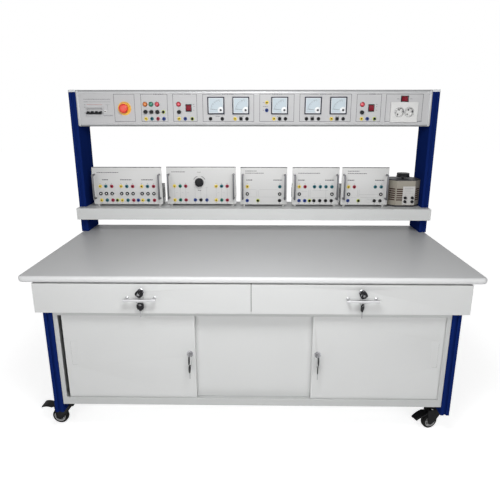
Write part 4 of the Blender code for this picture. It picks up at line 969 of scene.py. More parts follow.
def print_line(shape, plate_y, x0, z0, x1, z1, width=LINE_WIDTH, surface=0):
    """An upright or level printed line between two points given in millimetres."""
    half = width / 2
    printed(
        shape, plate_y, min(x0, x1) - half, max(x0, x1) + half,
        min(z0, z1) - half, max(z0, z1) + half, surface,
    )


def dashes(shape, plate_y, left, right, level, tall):
    """A row of short printed dashes between two places given in millimetres."""
    count = 0
    while left < right:
        stop = min(left + DASH_LENGTHS[count % len(DASH_LENGTHS)], right)
        printed(shape, plate_y, left, stop, level - tall / 2, level + tall / 2, 0)
        left = stop + DASH_GAP
        count += 1


def inside(point, node, margin):
    """Whether a point lies in front of a solid, or within a margin round it."""
    first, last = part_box(node)
    return (
        first.x - margin < point.x < last.x + margin
        and first.z - margin < point.z < last.z + margin
    )


STOP_DISC, ROCKER_BEZEL, LEVER_OPENING = 0.0095, 0.006, 0.020
FLUSH = 0.0001


def on_stop_disc(point):
    return inside(point, STOP, STOP_DISC)


def on_bezel(point):
    return any(inside(point, node, ROCKER_BEZEL) for node in ROCKERS)


plate_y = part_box("console_housing")[0].y + PLATE_RECESS
shape = merged("console_face", flat_faces=False)
studs = [
    face for face in shape.faces
    if centre_of(face).y < plate_y - FLUSH
    and not on_stop_disc(centre_of(face)) and not on_bezel(centre_of(face))
    and not inside(centre_of(face), "breaker_lever", LEVER_OPENING)
]
bmesh.ops.delete(shape, geom=studs, context="FACES")
bmesh.ops.holes_fill(shape, edges=[edge for edge in shape.edges if edge.is_boundary], sides=0)
bmesh.ops.recalc_face_normals(shape, faces=shape.faces)
for face in shape.faces:
    middle = centre_of(face)
    if middle.y < plate_y - FLUSH and on_stop_disc(middle):
        face.material_index = 1
    elif abs(middle.y - plate_y) > FLUSH and on_bezel(middle):
        face.material_index = 2
plate = make(
    "console_plate", shape, [panel_grey, signal_yellow, black_plastic], "bench",
    "console_face", angle=8.0,
)
for polygon in plate.data.polygons:
    polygon.use_smooth = abs(polygon.normal.y) < 0.9
shape = bmesh.new()
for left, right, heading in GROUP_FRAMES:
    print_line(shape, plate_y, left, FRAME_BOTTOM, right, FRAME_BOTTOM)
    print_line(shape, plate_y, left, FRAME_BOTTOM, left, FRAME_TOP)
    print_line(shape, plate_y, right, FRAME_BOTTOM, right, FRAME_TOP)
    if heading:
        print_line(shape, plate_y, left, FRAME_TOP, heading[0] - 4, FRAME_TOP)
        print_line(shape, plate_y, heading[1] + 4, FRAME_TOP, right, FRAME_TOP)
        dashes(shape, plate_y, *heading, FRAME_TOP, 3.0)
    else:
        print_line(shape, plate_y, left, FRAME_TOP, right, FRAME_TOP)
for row_of_dashes in FACE_DASHES:
    dashes(shape, plate_y, *row_of_dashes, 1.8)
for line in FACE_LINES:
    print_line(shape, plate_y, *line, 0.7)
print_line(shape, plate_y, *FACE_RED_LINE, 1.1, 1)
make("console_print", shape, [ink, red_ink], "bench")

# Jacks
# Safety sockets for 4 mm plugs: a coloured moulded flange with a shroud round a deep bore, whose
# wall and floor are near-black as painted shade.
# Some are black with a light centre, and crossed ones have four printed marks round them.
JACK_FLANGE = 0.0080
JACK_SHROUD = 0.0062
JACK_BORE = 0.0031
JACK_COLOURS = {
    "yellow": (0.78, 0.60, 0.10), "green": (0.010, 0.160, 0.115), "red": (0.32, 0.015, 0.042),
    "blue": (0.020, 0.050, 0.24), "teal": (0.015, 0.130, 0.165), "black": (0.014, 0.014, 0.016),
    "earth": (0.52, 0.62, 0.05),
}
CONSOLE_ROW = 1151
CROSSED = (-53.0, 115.3, 256.9, 364.4)


def stamp_row(shape, pattern, plate_y, places):
    """Copies of a turned mesh on a plate, at points given in millimetres."""
    for x, z in places:
        stamp(shape, pattern, facing(x / 1000, plate_y, z / 1000))


def row(level, *places):
    """Points side by side at one level."""
    return [(x, level) for x in places]


CONSOLE_JACKS = {
    "yellow": row(CONSOLE_ROW, -467.5, -322.5, -78.6, 90.6, 339.8, 470.4) + [(59.5, 1219)],
    "teal": row(CONSOLE_ROW, -441.6),
    "red": row(CONSOLE_ROW, -415.3),
    "blue": row(CONSOLE_ROW, -389.4, -295.9, 495.0) + [(58.8, 1187)],
    "black": row(CONSOLE_ROW, -185.8, -134.5, -27.0, 140.7, 231.9, 283.7, 390.8, *CROSSED),
    "earth": [(-390.3, 1180)] + row(CONSOLE_ROW, -265.4, 526.2),
}
jack_finishes = {
    name: finish("jack_" + name, colour, roughness=0.30, specular_ior_level=0.25)
    for name, colour in JACK_COLOURS.items()
}
# Near-black for the jacks' bores and the outlets' pin holes: painted shade inside the holes
bore_shade = finish("jack_bore_shade", (0.006, 0.006, 0.006), roughness=0.6, specular_ior_level=0.1)
jack_white = finish("jack_white", (0.80, 0.80, 0.78), roughness=0.35)
jack_palette = [*jack_finishes.values(), bore_shade, jack_white]
jack_order = list(jack_finishes) + ["dark", "white"]
BLACK, BORE_SHADE, WHITE = (jack_order.index(name) for name in ("black", "dark", "white"))


def jack_pattern(colour, shroud=None):
    """A jack of one colour, whose shroud may have another."""
    flange = jack_order.index(colour)
    ring = flange if shroud is None else shroud
    return turned([
        (0.0, 0.0006), (JACK_BORE, 0.0006), (JACK_BORE, 0.0042), (JACK_BORE + 0.0004, 0.0046),
        (JACK_SHROUD - 0.0006, 0.0046), (JACK_SHROUD, 0.0040), (JACK_SHROUD, 0.0016),
        (JACK_FLANGE - 0.0006, 0.0016), (JACK_FLANGE, 0.0008), (JACK_FLANGE, 0.0),
    ], steps=20, surfaces=[BORE_SHADE] * 2 + [ring] * 3 + [flange] * 4)


jack_patterns = {name: jack_pattern(name) for name in JACK_COLOURS}
jack_patterns["earth"] = jack_pattern("earth", BLACK)
jack_patterns["ring"] = turned([
    (0.0, 0.0030), (0.0026, 0.0030), (0.0032, 0.0042), (0.0072, 0.0042), (JACK_FLANGE, 0.0034),
    (JACK_FLANGE, 0.0),
], steps=20, surfaces=[WHITE] + [BLACK] * 4)


def jacks(name, table, plate_y):
    """A piece of jacks on a plate, placed in millimetres by their colours."""
    shape = bmesh.new()
    for colour, places in table.items():
        stamp_row(shape, jack_patterns[colour], plate_y, places)
    make(name, shape, jack_palette, "bench", angle=40.0)


CROSS_FROM, CROSS_TO, CROSS_HALF = 0.0078, 0.0112, 0.0009
jacks("console_jacks", CONSOLE_JACKS, plate_y)
shape = bmesh.new()
for x in CROSSED:
    for degrees in (45, 135, 225, 315):
        place = swing((x / 1000, plate_y, CONSOLE_ROW / 1000), degrees)
        block(
            shape, (CROSS_FROM, -PRINT_PROUD, -CROSS_HALF),
            (CROSS_TO, PRINT_PROUD, CROSS_HALF), place=place,
        )
make("jack_marks", shape, ink, "bench")

# Signal lamps and fuse holders
# Domed lamps with a darker moulded ring, and black screw-in fuse caps with a slot for a coin.
# All of them are clamped in round holes of the plate.
LAMP_RING = 0.0108
LAMP_DOME = 0.0086
FUSE_CAP = 0.0088
FUSE_SLOT = 0.0009
LAMPS_ON_FACE = {
    "orange": ((0.62, 0.17, 0.020), ((-468.6, 1212),)),
    "green": ((0.006, 0.20, 0.12), ((-442.9, 1212),)),
    "red": ((0.60, 0.030, 0.055), ((-416.7, 1212), (-322.8, 1212), (470.5, 1211))),
}
FUSES = ((-467.3, 1180), (-441.9, 1180), (-415.7, 1180), (-321.4, 1180), (470.2, 1178))

dome = turned([
    (0.0, 0.0082), (LAMP_DOME * 0.35, 0.0079), (LAMP_DOME * 0.65, 0.0070),
    (LAMP_DOME * 0.88, 0.0054), (LAMP_DOME, 0.0034), (LAMP_DOME + 0.0002, 0.0024),
    (LAMP_RING - 0.0008, 0.0024), (LAMP_RING, 0.0016), (LAMP_RING, 0.0),
], steps=28, surfaces=[0] * 4 + [1] * 4)
for name, (colour, places) in LAMPS_ON_FACE.items():
    lens = finish(
        "lamp_" + name, colour, roughness=0.12, mottle=0.04, relief=0.00002, coat_weight=0.6,
    )
    ring = finish("lamp_ring_" + name, [value * 0.32 for value in colour], roughness=0.35)
    shape = bmesh.new()
    stamp_row(shape, dome, plate_y, places)
    make("signal_lamps_" + name, shape, [lens, ring], "bench", angle=40.0)
cap = bmesh.new()
bmesh.ops.create_cone(
    cap, cap_ends=True, segments=24, radius1=FUSE_CAP, radius2=FUSE_CAP * 0.93, depth=0.010,
    matrix=Matrix.Translation((0, 0, 0.0048)),
)
for half in (-FUSE_SLOT, FUSE_SLOT):
    split(cap, (half, 0, 0), (1, 0, 0))
sink(cap, [
    face for face in cap.faces
    if face.normal.z > 0.9 and abs(centre_of(face).x) < FUSE_SLOT
], (0, 0, -0.0018))
fuse_cap = as_mesh(cap, "fuse_cap")
shape = bmesh.new()
for x, z in FUSES:
    stamp(shape, fuse_cap, facing(x / 1000, plate_y, z / 1000, x * 7 % 90))
make("fuse_caps", shape, black_plastic, "bench", angle=40.0)

# Breaker
# Four-pole breaker behind the plate. Its linked black toggles tilt as one, and a small test
# button sits beside them in a white surround.
TOGGLE_EDGE = 0.0009
TOGGLE_AXLE = (0.2475, 1.1845)
DRUM_REACH = 0.0062
TEST_BUTTON = (-0.6438, 1.1820)

dress(
    "breaker_lever", [black_plastic, panel_grey], "breaker", TOGGLE_EDGE,
    lambda middle: math.hypot(middle.y - TOGGLE_AXLE[0], middle.z - TOGGLE_AXLE[1]) < DRUM_REACH,
)
shape = bmesh.new()
button = turned([
    (0.0, 0.0055), (0.0022, 0.0055), (0.0026, 0.0050), (0.0026, 0.0016), (0.0052, 0.0016),
    (0.0056, 0.0),
], steps=20, surfaces=[BLACK] * 3 + [WHITE] * 2)
stamp(shape, button, facing(TEST_BUTTON[0], plate_y, TEST_BUTTON[1]))
make("breaker_test_button", shape, jack_palette, "bench", angle=40.0)

# Emergency stop
# Red mushroom button on a stem through a yellow disc, which is screwed to the plate. Short dark
# dashes mark the disc's rim.
STOP_CAP_DEPTH = 0.0130
STOP_DASH_ANGLES = (-24, -9, 6, 21, 36, 51, 66)

stop_red = finish("stop_red", (0.74, 0.045, 0.020), roughness=0.30, mottle=0.05)
mushroom = turned([
    (0.0, -0.0150), (0.0110, -0.0150), (0.0110, -0.0004), (0.0168, -0.0002), (0.0192, 0.0006),
    (0.0200, 0.0022), (0.0199, 0.0060), (0.0190, 0.0092), (0.0168, 0.0115), (0.0130, 0.0127),
    (0.0070, STOP_CAP_DEPTH), (0.0, STOP_CAP_DEPTH),
], steps=48)
middle = middle_of(STOP)
shape = bmesh.new()
stamp(shape, mushroom, facing(middle.x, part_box(STOP)[0].y + STOP_CAP_DEPTH, middle.z))
make("stop_button", shape, stop_red, "estop", STOP, angle=35.0)
shape = bmesh.new()
for degrees in STOP_DASH_ANGLES:
    place = swing((middle.x, plate_y - 0.002, middle.z), degrees)
    block(shape, (-0.0016, -PRINT_PROUD, 0.0236), (0.0016, PRINT_PROUD, 0.0262), place=place)
make("stop_marks", shape, ink, "bench")

# Rocker switches
# Red moulded rockers that snap into black bezels. A plain bar and a ring mark on and off.
ROCKER_EDGE = 0.0005
ROCKER_TILT = 8.0
ROCKER_RISE = 0.0030
MARK_OFFSET = 0.0052

rocker_red = finish(
    "rocker_red", (0.20, 0.006, 0.018), roughness=0.34, mottle=0.05, specular_ior_level=0.15,
)
rocker_mark = finish("rocker_mark", (0.60, 0.25, 0.25), roughness=0.40)
ring_mark = turned(
    [(0.0011, -0.0001), (0.0011, 0.00014), (0.0016, 0.00014), (0.0016, -0.0001)], steps=20,
)
for node in ROCKERS:
    dress(node, rocker_red, node, ROCKER_EDGE)
    low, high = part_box(node)
    middle = middle_of(node)
    if high.x - low.x > high.z - low.z:
        turn, axis, offset = ROCKER_TILT, "Z", Vector((MARK_OFFSET, 0, 0))
    else:
        turn, axis, offset = -ROCKER_TILT, "X", Vector((0, 0, MARK_OFFSET))
    centre = swing((middle.x, plate_y, middle.z), turn, axis)
    shape = bmesh.new()
    block(
        shape, (-0.0003, -ROCKER_RISE - 0.0002, -0.0016), (0.0003, -ROCKER_RISE + 0.0004, 0.0016),
        place=centre @ Matrix.Translation(offset),
    )
    ring_place = Matrix.Translation(Vector((0, -ROCKER_RISE, 0)) - offset)
    stamp(shape, ring_mark, centre @ ring_place @ TO_FRONT)
    make(node + "_marks", shape, rocker_mark, node)

# Panel meters
# Square moving-iron meters: dark blue moulded frame, pale dial with an arc scale from 0 to 10,
# a needle resting on zero and a white quarter cover over the pivot with its setting screw.
METER_BORDER = 0.0056
METER_EDGE = 0.0009
DIAL_DEPTH = 0.0018
DIAL_MARGIN = 0.0026
PIVOT = (0.0205, -0.0190)
ARC_RADIUS = 0.0420
ARC_START, ARC_STOP = math.radians(174.0), math.radians(98.0)
DIVISIONS = 20
MAIN_DIVISION = 4
TICK_HALF, ARC_HALF = 0.00022, 0.0002
TICK_LONG, TICK_SHORT = 0.0040, 0.0022
NUMBER_HEIGHT = 0.0042
COVER_MARGIN = METER_BORDER + 0.001
METER_TEXT = (11.0, 24.0, 21.5)
ON_DIAL, PALE, INK = 1, 2, 3

meter_navy = finish(
    "meter_navy", (0.013, 0.015, 0.034), roughness=0.36, mottle=0.1, specular_ior_level=0.10,
)
dial_pale = finish("dial_pale", (0.46, 0.535, 0.585), roughness=0.30, mottle=0.02)
dial_white = finish("dial_white", (0.70, 0.72, 0.73), roughness=0.30, mottle=0.02)
meter_palette = [meter_navy, dial_white, dial_pale, ink]


def number(text):
    """A plain number as a thin upright mesh, its middle at the origin."""
    curve = bpy.data.curves.new("number", "FONT")
    curve.body = text
    curve.size = NUMBER_HEIGHT
    curve.extrude = PRINT_PROUD
    curve.align_x = curve.align_y = "CENTER"
    words = bpy.data.objects.new("number", curve)
    scene.collection.objects.link(words)
    bpy.context.view_layer.update()
    evaluated = words.evaluated_get(bpy.context.evaluated_depsgraph_get())
    mesh = bpy.data.meshes.new_from_object(evaluated)
    bpy.data.objects.remove(words)
    for polygon in mesh.polygons:
        polygon.material_index = INK
    return mesh


scale_numbers = [number(str(step * 2)) for step in range(6)]
cover = turned([
    (0.0, 0.0), (0.0135, 0.0), (0.0135, 0.0012), (0.0128, 0.0016), (0.0, 0.0016),
], steps=40, surfaces=[ON_DIAL] * 4)
screw = turned(
    [(0.0, 0.0022), (0.0044, 0.0022), (0.0048, 0.0018), (0.0048, 0.0)], steps=20,
    surfaces=[INK] * 3,
)
for place in ("one", "two", "three", "four", "five"):
    node = "panel_meter_" + place
    low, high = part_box(node)
    middle = middle_of(node)
    half = (high.x - low.x) / 2
    shape = bmesh.new()
    block(shape, low, high)
    front = [face for face in shape.faces if face.normal.y < -0.9]
    bmesh.ops.inset_region(shape, faces=front, thickness=METER_BORDER)
    bmesh.ops.inset_region(shape, faces=front, thickness=0.0008, depth=-DIAL_DEPTH)
    for face in front:
        face.material_index = ON_DIAL
    bmesh.ops.inset_region(shape, faces=front, thickness=DIAL_MARGIN)
    for face in front:
        face.material_index = PALE
    rim = [
        edge for edge in shape.edges
        if min(vert.co.y for vert in edge.verts) < low.y + CLOSE and all(
            max(abs(vert.co.x - middle.x), abs(vert.co.z - middle.z)) > half - CLOSE
            for vert in edge.verts
        )
    ]
    round_edges(shape, rim, METER_EDGE)
    make(node + "_case", shape, meter_palette, "bench", node, angle=25.0)

    dial_y = low.y + DIAL_DEPTH
    pivot = (middle.x + PIVOT[0], dial_y, middle.z + PIVOT[1])
    shape = bmesh.new()
    for step in range(DIVISIONS + 1):
        angle = ARC_START + (ARC_STOP - ARC_START) * step / DIVISIONS
        at_tick = swing(pivot, -math.degrees(angle))
        main = step % MAIN_DIVISION == 0
        block(
            shape, (ARC_RADIUS, -PRINT_PROUD, -TICK_HALF),
            (ARC_RADIUS + (TICK_LONG if main else TICK_SHORT), PRINT_PROUD, TICK_HALF),
            INK, at_tick,
        )
        if main:
            spot = at_tick @ Vector((ARC_RADIUS - TICK_LONG, 0, 0))
            stamp(shape, scale_numbers[step // MAIN_DIVISION], Matrix.Translation(spot) @ TO_FRONT)
        if step < DIVISIONS:
            turn = (ARC_START - ARC_STOP) / DIVISIONS
            block(
                shape, (ARC_RADIUS - ARC_HALF, -PRINT_PROUD, -ARC_RADIUS * turn / 2),
                (ARC_RADIUS + ARC_HALF, PRINT_PROUD, ARC_RADIUS * turn / 2), INK,
                swing(pivot, math.degrees(turn / 2 - angle)),
            )
    block(
        shape, (0.0, -0.0007, -0.0005), (ARC_RADIUS - 0.001, -0.0004, 0.0005), INK,
        swing(pivot, -math.degrees(ARC_START)),
    )
    stamp(shape, cover, facing(*pivot))
    cover_right, cover_bottom = middle.x + half - COVER_MARGIN, middle.z - half + COVER_MARGIN
    split(shape, (cover_right, 0, 0), (1, 0, 0))
    split(shape, (0, 0, cover_bottom), (0, 0, 1))
    beyond = [
        face for face in shape.faces
        if centre_of(face).x > cover_right or centre_of(face).z < cover_bottom
    ]
    bmesh.ops.delete(shape, geom=beyond, context="FACES")
    stamp(shape, screw, facing(pivot[0], dial_y - 0.0010, pivot[2]))
    left, right, level = METER_TEXT
    corner_x, corner_z = (middle.x - half) * 1000, (middle.z - half) * 1000
    print_line(
        shape, dial_y, corner_x + left, corner_z + level, corner_x + right, corner_z + level, 0.9,
        INK,
    )
    make(node + "_dial", shape, meter_palette, "bench")

# Outlets
# Moulded white plate with two deep round wells, two pin holes and two earth clips in each. One
# screw in its middle holds it. The pin holes are near-black discs on the well floor, painted shade
# in place of holes, and a thin dark ring round each well's lip is a painted shadow.
OUTLET_EDGE = 0.0008
WELL_PITCH = 0.0410
WELL_RADIUS = 0.0192
WELL_DEPTH = 0.016
PIN_PITCH = 0.0190
PIN_RADIUS = 0.0031
PIN_TURN = math.radians(76.0)
CLIP_TURNS = (170.0, -10.0)

outlet_white = finish("outlet_white", (0.61, 0.61, 0.60), roughness=0.28, mottle=0.02)
steel_and_rim_shadow = finish("steel_and_rim_shadow", (0.10, 0.10, 0.11), roughness=0.40, metallic=0.4, mottle=0.1)
dress("outlet_pair", outlet_white, "bench", OUTLET_EDGE)
middle, front = middle_of("outlet_pair"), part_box("outlet_pair")[0].y
well_floor = front + WELL_DEPTH
# The last, flat span of the lip is a dark ring: a painted shadow round the well
well_rim = turned([
    (WELL_RADIUS - 0.0004, 0.0004), (WELL_RADIUS - 0.0004, 0.0010), (WELL_RADIUS, 0.0014),
    (WELL_RADIUS + 0.0010, 0.0010), (WELL_RADIUS + 0.0010, 0.0002), (WELL_RADIUS + 0.0018, 0.0002),
], steps=48, surfaces=[0, 0, 0, 0, 2])
# A near-black disc on the well floor: painted shade for a pin hole
pin = turned(
    [(0.0, 0.0003), (PIN_RADIUS, 0.0003), (PIN_RADIUS, -0.0003)], steps=18, surfaces=[1] * 2,
)
shape = bmesh.new()
CLIP_SIZE, CLIP_REACH = 0.0030, 0.0150
for side in (-1, 1):
    centre_x = middle.x + side * WELL_PITCH / 2
    stamp(shape, well_rim, facing(centre_x, front, middle.z))
    for end, clip_turn in zip((-1, 1), CLIP_TURNS):
        reach = end * PIN_PITCH / 2
        pin_x = centre_x + reach * math.cos(PIN_TURN)
        stamp(shape, pin, facing(pin_x, well_floor, middle.z + reach * math.sin(PIN_TURN)))
        block(
            shape, (WELL_RADIUS - CLIP_SIZE, well_floor - CLIP_REACH, -CLIP_SIZE),
            (WELL_RADIUS, well_floor, CLIP_SIZE), 2, swing((centre_x, 0, middle.z), clip_turn),
        )
screw = turned(
    [(0.0, 0.0010), (0.0022, 0.0010), (0.0028, 0.0004), (0.0028, 0.0)], steps=18, surfaces=[2] * 3,
)
stamp(shape, screw, facing(middle.x, well_floor - 0.0158, middle.z))
make("outlet_details", shape, [outlet_white, bore_shade, steel_and_rim_shadow], "bench")

# Test modules
# Each module is a printed steel front plate on a dark folded case with four rubber feet and a bow
# handle at each side. Its sockets stand in groups. Table sizes are millimetres of the front plate.
MODULE_LIFT = 0.0099
MODULE_PLATE = 0.003
PLATE_SETBACK = 0.030
PLATE_EDGE = 0.0007
CASE_INSET = 0.004
CASE_HEIGHT = 0.085
CASE_DEPTH = 0.088
CASE_EDGE = 0.002
FOOT_RADIUS = 0.008
BOW_BAR = 0.007
BOW_EDGE = 0.0014
BOW_INSET = 0.0105
BOW_FOOT = 0.0052
BOW_LEVELS = (0.026, 0.140)
RIM_HEIGHT = 0.0026
VENT_SLOTS = 9
VENT_PITCH = 0.008
VENT_LEVELS = (0.022, 0.068)
MODULE_GREY = (0.60, 0.60, 0.595)
TOP_ROW, RING_ROW, LOW_ROW = 851.7, 818.3, 787.6
SELECTOR_X = (-361.0, -334.9, -309.7, -169.8, -144.8, -118.9)
# For each module: sockets by colour, title rows, headings and plain printed lines
MODULES = {
    "module_three_output": (
        {
            "yellow": row(TOP_ROW, -699.5, -603.8, -509.1) + row(LOW_ROW, -698, -602.5, -508),
            "teal": row(TOP_ROW, -674, -577.6, -482.5) + row(LOW_ROW, -672.5, -576.5, -481.5),
            "red": row(TOP_ROW, -647.2, -550.9, -455.1) + row(LOW_ROW, -646, -550, -454),
            "ring": row(
                RING_ROW, -699, -673.2, -646.6, -603.2, -577.2, -550.4, -508.5, -482, -454.6,
            ),
            "earth": row(LOW_ROW, -624.7),
            "blue": row(LOW_ROW, -528.7),
        },
        ((-711, -611, 914.7),),
        ((-689, -661), (-606, -553), (-509, -456)),
        (),
    ),
    "module_selector": (
        {
            "yellow": row(TOP_ROW, -361, -169.8) + row(LOW_ROW, -361, -169.8),
            "green": row(TOP_ROW, -334.9) + row(LOW_ROW, -334.9, -144.8),
            "teal": row(TOP_ROW, -144.8),
            "red": row(TOP_ROW, -309.7, -118.9) + row(LOW_ROW, -309.7, -118.9),
            "blue": row(LOW_ROW, -267, -213.3),
            "black": row(LOW_ROW, -240.8),
        },
        ((-372, -309, 917),),
        (),
        (
            *[(x, 843, x, 798) for x in SELECTOR_X],
            *[(x + 6, 822, x + 14, 822) for x in SELECTOR_X[:-1]],
            (-272, 847, -267, 847), (-267, 847, -267, 798),
            (-213.3, 847, -213.3, 798), (-219, 847, -208, 847),
            (-240.8, 832, -240.8, 798),
        ),
    ),
    "module_single": (
        {
            "yellow": row(TOP_ROW, -26.5), "teal": row(TOP_ROW, 121.7),
            "ring": row(RING_ROW, -26.5, 121.7), "blue": row(LOW_ROW, -26.7),
            "earth": row(LOW_ROW, 21.9), "black": row(LOW_ROW, 121.3),
        },
        ((-35, 16, 922.6), (-35, 48, 913)),
        ((-31, -4), (92, 131.5)),
        (
            (-20, 838, 14, 838), (28, 838, 112, 838), (17, 834, 17, 806),
            (24, 834, 24, 806), (-20, 804, 14, 804), (28, 804, 112, 804),
        ),
    ),
    "module_multi_tap": (
        {
            "yellow": row(TOP_ROW, 210), "red": row(TOP_ROW, 236.6),
            "teal": row(TOP_ROW, 279.3, 305.9, 331.5, 358.1),
            "ring": row(RING_ROW, 210.8, 359.5), "blue": row(LOW_ROW, 210.7, 236.6),
            "earth": row(LOW_ROW, 258.3), "black": row(LOW_ROW, 278.7, 305.5, 331.8, 358.1),
        },
        ((204.6, 302, 913),),
        ((204.6, 234.5), (326.7, 367.4)),
        (
            (221, 831, 246, 831), (254, 838, 254, 803),
            (261, 838, 261, 803), (269, 834, 343, 834),
            (269, 801, 343, 801), (305.9, 843, 305.9, 834),
            (331.5, 843, 331.5, 801), (221, 805, 246, 805),
        ),
    ),
    "module_double": (
        {
            "yellow": row(TOP_ROW, 433.8), "red": row(TOP_ROW, 459.9),
            "teal": row(TOP_ROW, 554.6, 581.7), "ring": row(RING_ROW, 435.5, 581.8),
            "blue": row(LOW_ROW, 433.9), "earth": row(LOW_ROW, 481.1),
            "black": row(LOW_ROW, 554.3, 580.2),
        },
        ((427, 480, 922.6), (427, 513, 912)),
        ((428, 458), (552, 594)),
        (
            (476, 838, 476, 806), (483, 838, 483, 806),
            (446, 803, 470, 803), (484, 817, 570, 817),
            (490, 803, 570, 803),
        ),
    ),
}
HEADING_LEVEL = 881.8
VENT_START = 0.016
VENT_HALF_DEPTH, VENT_HALF_WIDTH = 0.0012, 0.0016

module_grey = finish("module_grey", MODULE_GREY, roughness=0.36, mottle=0.03, grain_scale=900.0)
case_grey = finish(
    "case_grey", (0.055, 0.056, 0.060), roughness=0.48, mottle=0.08, specular_ior_level=0.08,
)
# Dark rims, and on the module cases the vent slots, which are painted shade in place of openings
dark_rim_and_vent_shade = finish("dark_rim_and_vent_shade", (0.042, 0.042, 0.048), roughness=0.45, specular_ior_level=0.12)
bow_steel = finish(
    "bow_steel", (0.11, 0.11, 0.12), roughness=0.32, metallic=0.5, mottle=0.08,
    stretch=(1.0, 1.0, 0.05),
)
faint_ink = finish("faint_ink", (0.30, 0.30, 0.31), roughness=0.5)
foot_grey = finish("foot_grey", (0.50, 0.50, 0.49), roughness=0.5)
collar = turned([
    (0.0, 0.0), (BOW_FOOT, 0.0), (BOW_FOOT, 0.0022), (BOW_FOOT - 0.0008, 0.0032), (0.0, 0.0032),
], surfaces=[1] * 4)
for node, (sockets, titles, headings, lines) in MODULES.items():
    low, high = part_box(node)
    front, base = low.y + PLATE_SETBACK, low.z + MODULE_LIFT
    back = front + MODULE_PLATE
    shape = bmesh.new()
    block(shape, (low.x, front, base), (high.x, back, high.z - RIM_HEIGHT * 0.5))
    round_edges(shape, shape.edges[:], PLATE_EDGE)
    block(
        shape, (low.x + 0.0006, front - 0.0003, high.z - RIM_HEIGHT),
        (high.x - 0.0006, back + 0.001, high.z), 1,
    )
    make(node + "_plate", shape, [module_grey, dark_rim_and_vent_shade], "bench", node, angle=25.0)

    shape = bmesh.new()
    left, right, case_front = low.x + CASE_INSET, high.x - CASE_INSET, back - 0.0002
    block(
        shape, (left, case_front, base + 0.0003), (right, back + CASE_DEPTH, base + CASE_HEIGHT),
    )
    lid = {edge for vert in shape.verts if vert.co.z > base + CASE_EDGE for edge in vert.link_edges}
    round_edges(shape, list(lid), CASE_EDGE, 3)
    # Vent slots in the case's sides are dark strips: painted shade in place of openings
    for count in range(VENT_SLOTS):
        vent_y = case_front + VENT_START + VENT_PITCH * count
        for x in (left, right):
            block(
                shape,
                (x - VENT_HALF_DEPTH, vent_y - VENT_HALF_WIDTH, base + VENT_LEVELS[0]),
                (x + VENT_HALF_DEPTH, vent_y + VENT_HALF_WIDTH, base + VENT_LEVELS[1]), 1,
            )
    for x in (low.x + 2 * FOOT_RADIUS, high.x - 2 * FOOT_RADIUS):
        for y in (front + 2 * FOOT_RADIUS, front + CASE_DEPTH - FOOT_RADIUS):
            foot = bmesh.ops.create_cone(
                shape, cap_ends=True, segments=24, radius1=FOOT_RADIUS * 0.8, radius2=FOOT_RADIUS,
                depth=MODULE_LIFT + 0.0008,
                matrix=Matrix.Translation((x, y, low.z + MODULE_LIFT / 2 + 0.0004)),
            )["verts"]
            for face in {face for vert in foot for face in vert.link_faces}:
                face.material_index = 2
    make(
        node + "_case", shape, [case_grey, dark_rim_and_vent_shade, foot_grey], "bench",
        angle=30.0,
    )

    shape = bmesh.new()
    bottom, top = base + BOW_LEVELS[0], base + BOW_LEVELS[1]
    half = BOW_BAR / 2
    bars = (low.x + BOW_INSET, high.x - BOW_INSET)
    arms = (bottom + half, top - half)
    for x in bars:
        block(shape, (x - half, low.y, bottom), (x + half, low.y + BOW_BAR, top))
        for level in arms:
            block(
                shape, (x - half, low.y + half, level - half),
                (x + half, front + 0.0005, level + half),
            )
    round_edges(shape, shape.edges[:], BOW_EDGE, 3)
    for x in bars:
        for level in arms:
            stamp(shape, collar, facing(x, front + 0.0003, level))
    make(node + "_bows", shape, [bow_steel, chrome], "bench", angle=30.0)

    jacks(node + "_sockets", sockets, front)
    shape = bmesh.new()
    for title in titles:
        dashes(shape, front, *title, 3.0)
    for heading in headings:
        dashes(shape, front, *heading, HEADING_LEVEL, 4.2)
    for x, z in [place for colour in sockets if colour != "ring" for place in sockets[colour]]:
        drop = -13.0 if z == LOW_ROW else 13.0
        dashes(shape, front, x - 2.2, x + 2.2, z + drop, 1.3)
    for line in lines:
        print_line(shape, front, *line, 0.7, 1)
    make(node + "_print", shape, [ink, faint_ink], "bench")

# Selector knob
# Black fluted knob with a white pointer line. The plate has a ring of scale marks round it, with
# heavier arcs at its top left and top right.
KNOB_FLUTES = 20
KNOB_SKIRT = 0.0030
KNOB_SHAFT = 0.0062
KNOB_STAND = 0.0058
SHAFT_RADIUS = 0.0040
FLUTE_DEPTH = 0.0012
RIDGE_RISE = 0.0002
CROWN_EDGE, CROWN_RISE = 0.0012, 0.0006
POINTER_TURN = -60.0
SCALE_RADIUS = 0.0285
SCALE_FROM, SCALE_STEP, SCALE_MARKS = -150.0, 7.5, 41
HEAVY_ARC = (20, 62)
HEAVY_MARK, LIGHT_MARK = 0.0022, 0.0016
LIGHT_MARK_HALF = 0.0003


